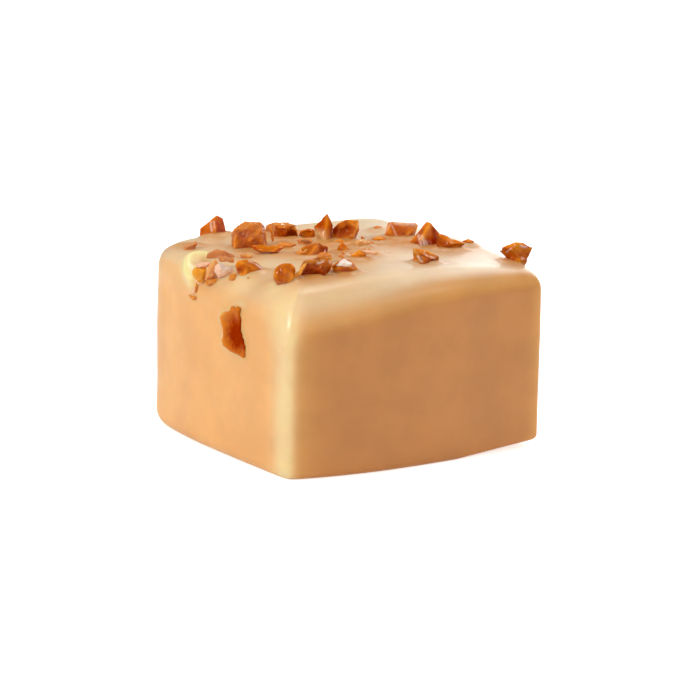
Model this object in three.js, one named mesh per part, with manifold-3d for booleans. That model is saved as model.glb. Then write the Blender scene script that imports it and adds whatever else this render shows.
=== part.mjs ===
// One coated caramel candy: a soft-cornered block under a poured blond coating, with broken
// toffee bits set in its top, some glazed over at the left edge, and one flake in its left face.
// Millimetres, +Z up. The origin is the middle of the flat base, the front face looks along -Y
// and the left face along -X. The candy is one body, so it is one mesh.
import * as THREE from "three";
import { ConvexGeometry } from "three/addons/geometries/ConvexGeometry.js";
import { mergeVertices } from "three/addons/utils/BufferGeometryUtils.js";
import Module from "manifold-3d";

const wasm = await Module();
wasm.setup();

// ---- driving sizes of the block ----------------------------------------------------------
const WIDTH = 28; // along X
const DEPTH = 27.8; // along Y, before the faces bow
const HEIGHT = 17.7;

// Radii and drops at the four upright edges, in the order front left, back left, front right,
// back right. The sizes between two corners blend from one to the other.
const CORNER = {
  plan: [0.8, 5.0, 0.6, 2.0],
  top: [5.0, 1.6, 1.7, 4.3],
  base: [0.9, 1.7, 0.6, 1.0],
  drop: [0.9, 0, 2.0, 0.2],
};
const FRONT_BOW = 1.3; // how far the front face swells out
const FRONT_BOW_SKEW = 0.6; // moves the fullest place of that swelling to the left
const BACK_BOW = 1.6;
const LEFT_BOW = 0.4;
const BACK_LEFT_CUT = 1.2; // how far the back left corner is pulled in
const TOP_RISE_RIGHT = 0.56; // the top is this much higher at the right edge than in the middle
const TOP_FALL_BACK = 0.3;
const BASE_LIFT = 0.7; // the front right foot stands this clear of the ground
const BASE_LIFT_START = 0.3; // where that lift begins, as a share of the way to the corner
const BASE_FLAT = 0.3; // the rounding under this height is pressed flat
const DROP_POWER = 1.5; // how sharply the corner drops set in
const DROP_FADE = 2; // how quickly the drops fade towards the base, and the lift towards the top
const LIFT_FADE = 3;

const SEGMENTS = 20; // grid squares along each side of the block
const SEGMENTS_HIGH = 14;
const EDGE_CROWDING = 1.35; // above 1, grid lines gather near the edges
const TOP_SEARCH_STEPS = 8;

// ---- driving sizes of the toffee ---------------------------------------------------------
const FACING = -33; // degrees about Z: the bits' outlines face the front left edge
const FOOT_DEPTH = 0.5; // how deep a bit stands in the coating
const FACE_SHARE = 0.55; // size of a bit's broken front and back faces beside its outline
const FOOT_LINE = 0.25; // outline points lower than this belong to the foot
const HOLLOW_DETAIL = 3;
const LOOSENESS = 0.3; // how unevenly a bit's faces stand, as a share of its thickness

// The bits with a shape of their own, from the back left to the front right, then the glazed
// ones at the left edge: where each stands on the top [x, y] or at its rim [x, y, z], its
// thickness, its outline seen from in front as [across, up], and where it has them its own
// turn, the corners that stand proud of the outline as [across, up, depth], and the hollow
// broken out of it: middle and half sizes of an egg shape.
const BITS = {
  back_left_wedge: {
    at: [-5.3, 13.6], thickness: 1.5,
    outline: [[-1.4, 0], [-1.35, 0.6], [0.25, 1.95], [0.75, 1.65], [1.25, 0.2]],
    front: [[0.1, 0.15, 0.9]],
  },
  nut_like_lump: {
    at: [-5.9, 6.1], thickness: 2.7,
    outline: [[-1.7, 0], [-1.75, 1.6], [-1.25, 2.2], [-0.2, 2.45], [1.35, 2.5], [1.7, 1.6],
      [1.75, 0.1]],
    front: [[-1.45, 0, 1.2], [-1.35, 1.9, 1.1], [1.4, 1.85, 1.1], [1.6, 0.2, 1.2], [0.05, 1.05, 1.5]],
  },
  boat: {
    at: [-5.4, 3.0], thickness: 1.1,
    outline: [[-1.85, 0.7], [-1.6, 0.1], [1.2, 0], [1.75, 0.8]],
    front: [[-1.45, 0.1, 0.45], [1.1, 0, 0.45]],
    hollow: { middle: [0, 0, 1.2], half: [1.5, 0.9, 0.75] },
  },
  glazed_ridge: {
    at: [0.2, 9.6], thickness: 1.6,
    outline: [[-1.9, 0], [-1.8, 0.7], [-1.15, 1.05], [0.3, 1.0], [1.0, 0.8], [1.3, 0]],
  },
  dark_hollow: {
    at: [-1.2, 7.5], thickness: 1.6,
    outline: [[-1.4, 0], [-0.8, 1.3], [0.95, 1.35], [1.25, 0.9], [1.2, 0]],
    front: [[-0.55, 1.1, 0.4], [-1.05, 0, 0.55], [0.3, 1.05, 0.5], [1.05, 0.05, 0.8]],
    hollow: { middle: [0.8, -0.75, 0.5], half: [0.6, 0.75, 0.55] },
  },
  tall_peak: {
    at: [1.1, 4.0], thickness: 1.5,
    outline: [[-1.0, 1.4], [0.25, 2.7], [0.8, 1.5], [0.8, 0], [-0.7, 0]],
    front: [[0.15, 1.5, 0.45], [0.1, 0, 0.85]],
  },
  bowl: {
    at: [2.9, 3.5], thickness: 1.7,
    outline: [[-1.1, 0], [-1.05, 0.95], [-0.45, 1.6], [0.25, 1.95], [1.45, 1.85], [1.55, 1.0],
      [1.0, 0]],
    front: [[-0.85, 0, 0.8], [0.9, 0.25, 0.85], [1.3, 1.25, 0.6]],
    hollow: { middle: [0.1, -0.95, 1.0], half: [1.1, 1.0, 0.85] },
  },
  broad_low_wedge: {
    at: [-3.7, -1.0], thickness: 2.2,
    outline: [[-1.85, 0], [-0.8, 0.8], [0.35, 1.25], [0.75, 1.35], [1.8, 0.85], [1.5, 0.1]],
    front: [[-0.2, 0, 1.1], [1.1, 0.1, 1.0], [0.8, 0.95, 0.4]],
  },
  small_triangle: {
    at: [-0.3, -1.7], thickness: 1.0,
    outline: [[-0.95, 0.1], [-0.55, 0.7], [-0.2, 1.0], [0.25, 0.6], [0.85, 0]],
    front: [[-0.1, 0, 0.6]],
  },
  pale_lump: {
    at: [2.3, -0.6], thickness: 1.1,
    outline: [[-0.9, 0], [-0.65, 0.45], [0, 0.6], [0.85, 0.3], [0.8, 0]],
  },
  front_flake: {
    at: [-0.9, -5.1], thickness: 1.1, turn: -8,
    outline: [[-0.85, 0], [-0.75, 0.35], [0, 0.85], [0.6, 0.6], [0.95, 0]],
    front: [[0.05, 0.55, 0.3], [0.25, 0, 0.6]],
  },
  long_wedge: {
    at: [7.7, 0.9], thickness: 1.8,
    outline: [[-1.8, 0.1], [-1.2, 1.45], [-0.75, 1.5], [1.5, 1.4], [1.65, 1.1], [1.2, 0], [0, 0]],
    front: [[-1.05, 1.2, 0.3], [1.15, 0.8, 0.6], [-0.35, 0, 0.9], [-1.15, 0.7, 0.5]],
  },
  right_peak: {
    at: [7.2, -3.1], thickness: 1.8,
    outline: [[-1.1, 0], [0.6, 2.25], [1.0, 2.2], [1.9, 1.15], [1.85, 0.1]],
    front: [[0.4, 0.8, 0.75], [0.3, 0, 0.95], [1.3, 0.2, 0.95], [1.15, 1.5, 0.4]],
  },
  pointed_wedge: {
    at: [8.8, -5.7], thickness: 1.3,
    outline: [[-1.35, 0], [-1.1, 1.3], [-0.75, 1.45], [0.25, 0.95], [1.5, 0.55], [1.3, 0.3],
      [-0.65, 0]],
    front: [[-1.05, 0, 0.6], [0.25, 0.6, 0.6]],
  },
  rough_bit: {
    at: [3.2, -10.0], thickness: 1.4,
    outline: [[-1.1, 0.2], [-1.1, 1.35], [-0.6, 1.3], [0.25, 1.15], [1.3, 0.6], [1.2, 0.2],
      [0.15, 0]],
    front: [[-0.4, 1.0, 0.6], [-0.15, 0.05, 0.8], [0.6, 0.5, 0.65]],
  },
  corner_bit: {
    at: [12.6, -10.9], thickness: 1.4,
    outline: [[-1.6, 0.9], [-1.1, 1.4], [0.1, 1.95], [0.9, 1.85], [1.65, 1.4], [1.0, 0], [-0.1, 0.2]],
    front: [[-0.2, 1.2, 0.5], [0.85, 0.2, 0.6], [0.3, 1.7, 0.4]],
  },
  round_flake: {
    at: [-10.6, -7.9], thickness: 0.9,
    outline: [[-1.3, 0.3], [-1.2, 1.1], [-0.7, 1.5], [-0.2, 1.7], [0.5, 1.65], [0.9, 1.1],
      [0.8, 0.4], [0, 0], [-0.8, 0]],
  },
  crested_bit: {
    at: [-8.0, -8.2], thickness: 1.6,
    outline: [[-1.7, 0], [-0.8, 1.4], [0.1, 1.55], [0.6, 1.8], [1.2, 1.65], [1.7, 1.8],
      [1.8, 1.15], [1.3, 0]],
    front: [[-1.45, 0, 0.7], [-0.55, 1.3, 0.55], [1.3, 1.0, 0.7], [1.05, 0, 0.9]],
    hollow: { middle: [0.15, -0.95, 0.6], half: [1.0, 0.75, 0.6] },
  },
  glossy_bit: {
    at: [-5.2, -9.1], thickness: 1.5,
    outline: [[-1.1, 0.65], [-0.45, 1.15], [0.05, 1.45], [0.85, 1.05], [1.35, 0.5], [0.95, 0],
      [-0.7, 0]],
    front: [[-0.85, 0.5, 0.55], [0.95, 0.5, 0.6], [0, 0, 0.8]],
  },
  almond_bit: {
    at: [-11.5, -3.2], thickness: 1.4,
    outline: [[-1.5, 0.65], [-1.25, 1.1], [-0.3, 1.25], [0.65, 0.9], [1.4, 0.25], [0.2, 0],
      [-1.1, 0]],
    front: [[-0.35, 0.85, 0.55], [1.1, 0.25, 0.4], [-0.65, 0, 0.8]],
  },
  amber_flake: {
    at: [-13.6, 2.2, 15.9], thickness: 0.9,
    outline: [[-0.8, 0.6], [-0.5, 1.1], [0.45, 1.05], [0.65, 0.8], [0.45, -0.4], [-0.3, -0.35]],
    front: [[-0.05, 0.45, 0.4]],
  },
  rosy_facet: {
    at: [-13.1, 3.3, 16.4], thickness: 0.9,
    outline: [[-0.55, 0.4], [0.2, 0.85], [0.85, 0.8], [1.05, 0.4], [0.6, 0], [-0.35, 0]],
  },
  ridge_facet: {
    at: [-13.1, 1.3, 16.4], thickness: 1.0,
    outline: [[-0.4, -0.5], [-0.25, 0.7], [0.25, 1.15], [0.45, 0.7], [0.4, -0.5]],
    front: [[0.3, 0.5, 0.4]],
  },
  milky_facet: {
    at: [-12.6, 0, 16.7], thickness: 1.3,
    outline: [[-0.75, -0.6], [-0.7, 0.8], [-0.35, 1.05], [0.95, 0.6], [1.05, 0], [0.45, -0.6]],
    front: [[-0.6, -0.25, 0.55], [-0.45, 0.75, 0.35], [0.75, 0.5, 0.4], [0.3, -0.45, 0.6]],
  },
  glazed_mound: {
    at: [-10.6, 3.6, 17.1], thickness: 1.9,
    outline: [[-1.5, 0], [-1.3, 0.5], [-0.45, 0.9], [0.4, 0.85], [1.35, 0.3], [1.3, -0.3]],
    front: [[-0.45, 0.2, 0.7], [0.75, 0.2, 0.6]],
  },
  under_sliver: {
    at: [-13.6, 0.2, 15.6], thickness: 0.8,
    outline: [[-0.8, -0.4], [0.15, -0.1], [0.85, 0], [0.65, -0.3], [-0.4, -0.55]],
  },
  small_chip: {
    at: [-12.7, -2.2, 16.6], thickness: 0.9,
    outline: [[-0.5, 0.15], [-0.05, 0.55], [0.45, 0.45], [0.4, -0.1], [-0.1, -0.45], [-0.4, -0.3]],
  },
};

// The small ones, each a low arch of so many points: [x, y, length, thickness, height].
const CRUMB_POINTS = 5;
const CRUMB_SEED = 100;
const CRUMBS = [
  [-10.0, 10.2, 2.4, 1.2, 0.35],
  [-8.0, 3.4, 1.4, 0.9, 0.25],
  [-3.0, 3.8, 2.1, 0.9, 0.7],
  [1.5, 1.8, 2.2, 0.7, 0.6],
  [4.8, 0.3, 2.1, 0.9, 0.6],
  [1.1, -4.4, 1.4, 0.8, 0.5],
  [7.9, 5.3, 1.5, 1.2, 0.5],
  [11.5, -4.9, 1.7, 0.8, 0.6],
  [-2.2, -4.2, 0.9, 0.8, 0.6],
  [-1.3, -3.0, 0.8, 0.7, 0.5],
];

// The curl of coating that has run round the left cluster: a rope along a curve.
const CURL_RADIUS = 0.42;
const CURL_PATH = [
  [-10.8, 5.1, 17.1],
  [-12.0, 6.0, 17.05],
  [-13.05, 5.6, 16.65],
  [-13.65, 4.6, 16.15],
  [-13.9, 3.7, 15.8],
  [-14.15, 2.5, 15.3],
];
const CURL_STEPS = 12;
const CURL_SIDES = 8;

// The flake in the left face: its outline as [y, z], and how far it is proud of the face.
const SIDE_FLAKE_OUTLINE = [
  [-4.4, 14.7],
  [-5.2, 14.7],
  [-6.2, 12.7],
  [-7.0, 11.5],
  [-6.8, 10.4],
  [-4.9, 10.2],
  [-3.2, 10.4],
  [-2.6, 12.7],
  [-3.5, 13.7],
];
const SIDE_FLAKE_X = -14.35;
const SIDE_FLAKE_PROUD = 0.3;
const SIDE_FLAKE_THICK = 1.2;

// ---- small helpers -----------------------------------------------------------------------
const clamp = (value, low, high) => Math.min(Math.max(value, low), high);

// A short repeatable stream of numbers from 0 to 1: a multiplicative congruential generator.
const RANDOM = { stride: 7919, start: 17, factor: 16807, modulus: 2147483647 };

function seededRandom(seed) {
  let state = seed * RANDOM.stride + RANDOM.start;
  return () => {
    state = (state * RANDOM.factor) % RANDOM.modulus;
    return state / RANDOM.modulus;
  };
}

const MERGE_DISTANCE = 1e-4;

// A closed geometry as a solid that can be joined and cut.
function solidOf(geometry) {
  const bare = geometry.clone();
  bare.deleteAttribute("normal");
  bare.deleteAttribute("uv");
  const merged = mergeVertices(bare, MERGE_DISTANCE);
  return new wasm.Manifold(
    new wasm.Mesh({
      numProp: 3,
      vertProperties: merged.getAttribute("position").array,
      triVerts: new Uint32Array(merged.index.array),
    }),
  );
}

function geometryOf(solid) {
  const mesh = solid.getMesh();
  const geometry = new THREE.BufferGeometry();
  geometry.setAttribute("position", new THREE.BufferAttribute(mesh.vertProperties, 3));
  geometry.setIndex(new THREE.BufferAttribute(mesh.triVerts, 1));
  geometry.computeVertexNormals();
  return geometry;
}

// ---- the block ---------------------------------------------------------------------------

// Blends four corner values [front left, back left, front right, back right] over the plan.
function blendCorners([frontLeft, backLeft, frontRight, backRight], across, away) {
  const right = (1 + across) / 2;
  const back = (1 + away) / 2;
  const left = frontLeft * (1 - back) + backLeft * back;
  return left * (1 - right) + (frontRight * (1 - back) + backRight * back) * right;
}

// Bends the meeting of a wall and a flat face into an arc: reach is the distance from the
// middle of the plan, rise the distance towards the flat face.
function roundEdge(reach, rise, wallReach, faceRise, radius) {
  const outReach = reach - (wallReach - radius);
  const outRise = rise - (faceRise - radius);
  if (outReach <= 0 || outRise <= 0) return [reach, rise];
  const scale = radius / Math.hypot(outReach, outRise);
  return [wallReach - radius + outReach * scale, faceRise - radius + outRise * scale];
}

// The edge of the plan in the direction of the point [across, away] of the unit square's rim.
function planEdge(across, away) {
  const halfWidth = WIDTH / 2;
  const halfDepth = DEPTH / 2;
  const corner = (across > 0 ? 2 : 0) + (away > 0 ? 1 : 0);
  const radius = CORNER.plan[corner];
  const flatX = clamp(across * halfWidth, radius - halfWidth, halfWidth - radius);
  const flatY = clamp(away * halfDepth, radius - halfDepth, halfDepth - radius);
  const outX = across * halfWidth - flatX;
  const outY = away * halfDepth - flatY;
  const out = Math.max(Math.hypot(outX, outY), 1e-9);
  const x = flatX + (outX / out) * radius;
  const y = flatY + (outY / out) * radius;

  const s = x / halfWidth;
  const t = y / halfDepth;
  const toLeft = clamp(-s, 0, 1);
  const toFront = clamp(-t, 0, 1);
  const toBack = clamp(t, 0, 1);
  const bowX = 1 - t * t;
  const bowY = 1 - s * s;
  return [
    x - LEFT_BOW * bowX * toLeft + BACK_LEFT_CUT * toLeft * toBack ** 2,
    y - FRONT_BOW * bowY * (1 - FRONT_BOW_SKEW * s) * toFront + BACK_BOW * bowY * toBack,
  ];
}

// Share of the way into each corner's quarter, nought on the middle lines, one at the corner.
function cornerShares(s, t) {
  const [left, right] = [clamp(-s, 0, 1), clamp(s, 0, 1)];
  const [front, back] = [clamp(-t, 0, 1), clamp(t, 0, 1)];
  return [left * front, left * back, right * front, right * back];
}

// Moves a point of the cube from -1 to 1 to its place on the block.
function blockPoint(u, v, w) {
  const ring = Math.max(Math.abs(u), Math.abs(v));
  const [across, away] = ring > 0 ? [u / ring, v / ring] : [0, 1];
  const [edgeX, edgeY] = planEdge(across, away);
  const wallReach = Math.hypot(edgeX, edgeY);
  const topRadius = blendCorners(CORNER.top, across, away);
  const baseRadius = blendCorners(CORNER.base, across, away);

  let reach = ring * wallReach;
  let z = ((w + 1) / 2) * HEIGHT;
  [reach, z] = roundEdge(reach, z, wallReach, HEIGHT, topRadius);
  let depth = HEIGHT - z;
  [reach, depth] = roundEdge(reach, depth, wallReach, HEIGHT, baseRadius);
  z = HEIGHT - depth;
  if (z < BASE_FLAT) z = 0;

  const x = (edgeX / wallReach) * reach;
  const y = (edgeY / wallReach) * reach;
  const s = clamp(x / (WIDTH / 2), -1, 1);
  const t = clamp(y / (DEPTH / 2), -1, 1);
  const shares = cornerShares(s, t);
  let drop = TOP_FALL_BACK * t - TOP_RISE_RIGHT * s;
  for (let i = 0; i < 4; i++) drop += CORNER.drop[i] * shares[i] ** DROP_POWER;
  const high = z / HEIGHT;
  const lift = clamp((shares[2] - BASE_LIFT_START) / (1 - BASE_LIFT_START), 0, 1);
  return [x, y, z - high ** DROP_FADE * drop + BASE_LIFT * (1 - high) ** LIFT_FADE * lift];
}

const crowded = (value) =>
  Math.sign(value) * (1 - (1 - Math.min(Math.abs(value), 1)) ** EDGE_CROWDING);

function makeBlock() {
  const block = new THREE.BoxGeometry(2, 2, 2, SEGMENTS, SEGMENTS, SEGMENTS_HIGH);
  const points = block.getAttribute("position");
  for (let i = 0; i < points.count; i++) {
    const [u, v, w] = [points.getX(i), points.getY(i), points.getZ(i)].map(crowded);
    points.setXYZ(i, ...blockPoint(u, v, w));
  }
  return solidOf(block);
}

// Height of the top under the point [x, y], found by drawing the cube point towards it.
function topHeight(x, y) {
  let [u, v] = [x / (WIDTH / 2), y / (DEPTH / 2)];
  let z = HEIGHT;
  for (let i = 0; i < TOP_SEARCH_STEPS; i++) {
    const [px, py, pz] = blockPoint(clamp(u, -1, 1), clamp(v, -1, 1), 1);
    u += (x - px) / (WIDTH / 2);
    v += (y - py) / (DEPTH / 2);
    z = pz;
  }
  return z;
}

// ---- the toffee --------------------------------------------------------------------------

// A broken bit in its own frame, its foot at z = 0. The outline stands in the X-Z plane. Behind
// it, and in front too if the bit has no corners of its own there, is a smaller, uneven face.
function makeBit({ outline, thickness, front, hollow }, seed) {
  const draw = seededRandom(seed);
  const sunk = (up) => (up < FOOT_LINE ? -FOOT_DEPTH : up);
  const middle = [0, 1].map((k) => outline.reduce((sum, p) => sum + p[k], 0) / outline.length);
  const points = [];
  for (const [across, up] of outline) {
    const tilt = thickness * LOOSENESS * (draw() - 0.5);
    points.push(new THREE.Vector3(across, tilt, sunk(up)));
  }
  for (const side of front ? [1] : [1, -1]) {
    const share = FACE_SHARE * (1 - LOOSENESS * draw());
    for (const [across, up] of outline) {
      const x = middle[0] + (across - middle[0]) * share;
      const z = middle[1] + (up - middle[1]) * share;
      const y = side * thickness * (1 - LOOSENESS * draw()) / 2;
      points.push(new THREE.Vector3(x, y, z));
    }
    points.push(new THREE.Vector3(middle[0], (side * thickness) / 2, -FOOT_DEPTH));
  }
  for (const [across, up, depth] of front ?? []) {
    points.push(new THREE.Vector3(across, -depth, sunk(up)));
  }
  const solid = solidOf(new ConvexGeometry(points));
  if (!hollow) return solid;
  const egg = new THREE.IcosahedronGeometry(1, HOLLOW_DETAIL);
  egg.scale(...hollow.half).translate(...hollow.middle);
  return solid.subtract(solidOf(egg));
}

// A crumb's outline: a low arch of seeded points.
function crumbOutline(length, height, draw) {
  return Array.from({ length: CRUMB_POINTS }, (_, i) => {
    const angle = Math.PI * (1 - i / (CRUMB_POINTS - 1));
    const reach = 1 - LOOSENESS * draw();
    return [(length / 2) * reach * Math.cos(angle), height * reach * Math.sin(angle)];
  });
}

function makeCurl() {
  const section = new THREE.Shape().absarc(0, 0, CURL_RADIUS, 0, 2 * Math.PI);
  const path = new THREE.CatmullRomCurve3(CURL_PATH.map((point) => new THREE.Vector3(...point)));
  const options = { steps: CURL_STEPS, curveSegments: CURL_SIDES, extrudePath: path };
  return solidOf(new THREE.ExtrudeGeometry(section, options));
}

// The outline stands in the Y-Z plane and is thickened along X.
function makeSideFlake() {
  const outline = new THREE.Shape(SIDE_FLAKE_OUTLINE.map(([y, z]) => new THREE.Vector2(y, z)));
  const flake = new THREE.ExtrudeGeometry(outline, { depth: SIDE_FLAKE_THICK, bevelEnabled: false });
  const upright = new THREE.Matrix4().makeBasis(
    new THREE.Vector3(0, 1, 0),
    new THREE.Vector3(0, 0, 1),
    new THREE.Vector3(1, 0, 0),
  );
  flake.applyMatrix4(upright).translate(SIDE_FLAKE_X - SIDE_FLAKE_PROUD, 0, 0);
  return solidOf(flake);
}

// ---- the candy ---------------------------------------------------------------------------
let candy = makeBlock();
const crumbs = CRUMBS.map(([x, y, length, thickness, height], index) => {
  const draw = seededRandom(CRUMB_SEED + index);
  return { at: [x, y], thickness, outline: crumbOutline(length, height, draw) };
});
[...Object.values(BITS), ...crumbs].forEach((bit, index) => {
  const [x, y, z = topHeight(x, y)] = bit.at;
  const turn = FACING + (bit.turn ?? 0);
  const solid = makeBit(bit, index + 1).rotate(0, 0, turn).translate(x, y, z);
  candy = candy.add(solid);
});
candy = candy.add(makeCurl()).add(makeSideFlake());

const coating = new THREE.MeshStandardMaterial({ color: 0xe0a76b, roughness: 0.35, metalness: 0 });
const mesh = new THREE.Mesh(geometryOf(candy), coating);
mesh.name = "caramel_candy";

const model = new THREE.Group();
model.add(mesh);

export default model;
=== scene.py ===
"""A coated caramel candy: the poured coating, the broken toffee bits in its top, the glazed
cluster at its left edge and the flake in its left face. Sizes are in millimetres up to the
point where a mesh is made."""
import math

import bmesh
import bpy
from mathutils import Matrix, Vector, noise


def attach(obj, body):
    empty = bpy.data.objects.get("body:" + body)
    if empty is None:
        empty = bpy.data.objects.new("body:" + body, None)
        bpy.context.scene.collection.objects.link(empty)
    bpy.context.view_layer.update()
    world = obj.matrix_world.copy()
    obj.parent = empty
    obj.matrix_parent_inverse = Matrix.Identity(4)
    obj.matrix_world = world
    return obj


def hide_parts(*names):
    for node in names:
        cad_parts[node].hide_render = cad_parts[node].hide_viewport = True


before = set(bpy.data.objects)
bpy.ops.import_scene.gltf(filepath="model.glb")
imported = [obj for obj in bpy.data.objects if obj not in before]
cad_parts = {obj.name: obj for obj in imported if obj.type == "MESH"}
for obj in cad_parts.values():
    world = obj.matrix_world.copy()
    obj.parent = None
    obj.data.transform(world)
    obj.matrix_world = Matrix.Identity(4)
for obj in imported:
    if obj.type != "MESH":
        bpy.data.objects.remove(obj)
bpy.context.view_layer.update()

NODE = "caramel_candy"
MM = 0.001

# ---- sizes of the block, as in the solid -------------------------------------------------
WIDTH = 28.0
DEPTH = 27.8
HEIGHT = 17.7

# In the order front left, back left, front right, back right.
CORNER_PLAN = (0.8, 5.0, 0.6, 2.0)
CORNER_TOP = (5.0, 1.6, 1.7, 4.3)
CORNER_BASE = (0.9, 1.7, 0.6, 1.0)
CORNER_DROP = (0.9, 0.0, 2.0, 0.2)
FRONT_BOW = 1.3
FRONT_BOW_SKEW = 0.6
BACK_BOW = 1.6
LEFT_BOW = 0.4
BACK_LEFT_CUT = 1.2
TOP_RISE_RIGHT = 0.56
TOP_FALL_BACK = 0.3
BASE_LIFT = 0.7
BASE_LIFT_START = 0.3
DROP_POWER = 1.5
DROP_FADE = 2
LIFT_FADE = 3
EDGE_CROWDING = 1.35

# ---- sizes of the toffee, as in the solid ------------------------------------------------
FACING = -33.0
FOOT_DEPTH = 0.5
FOOT_TOP = 0.9  # a bit's outline under this height counts as its foot
FACE_SHARE = 0.55
FOOT_LINE = 0.25
LOOSENESS = 0.3

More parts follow.
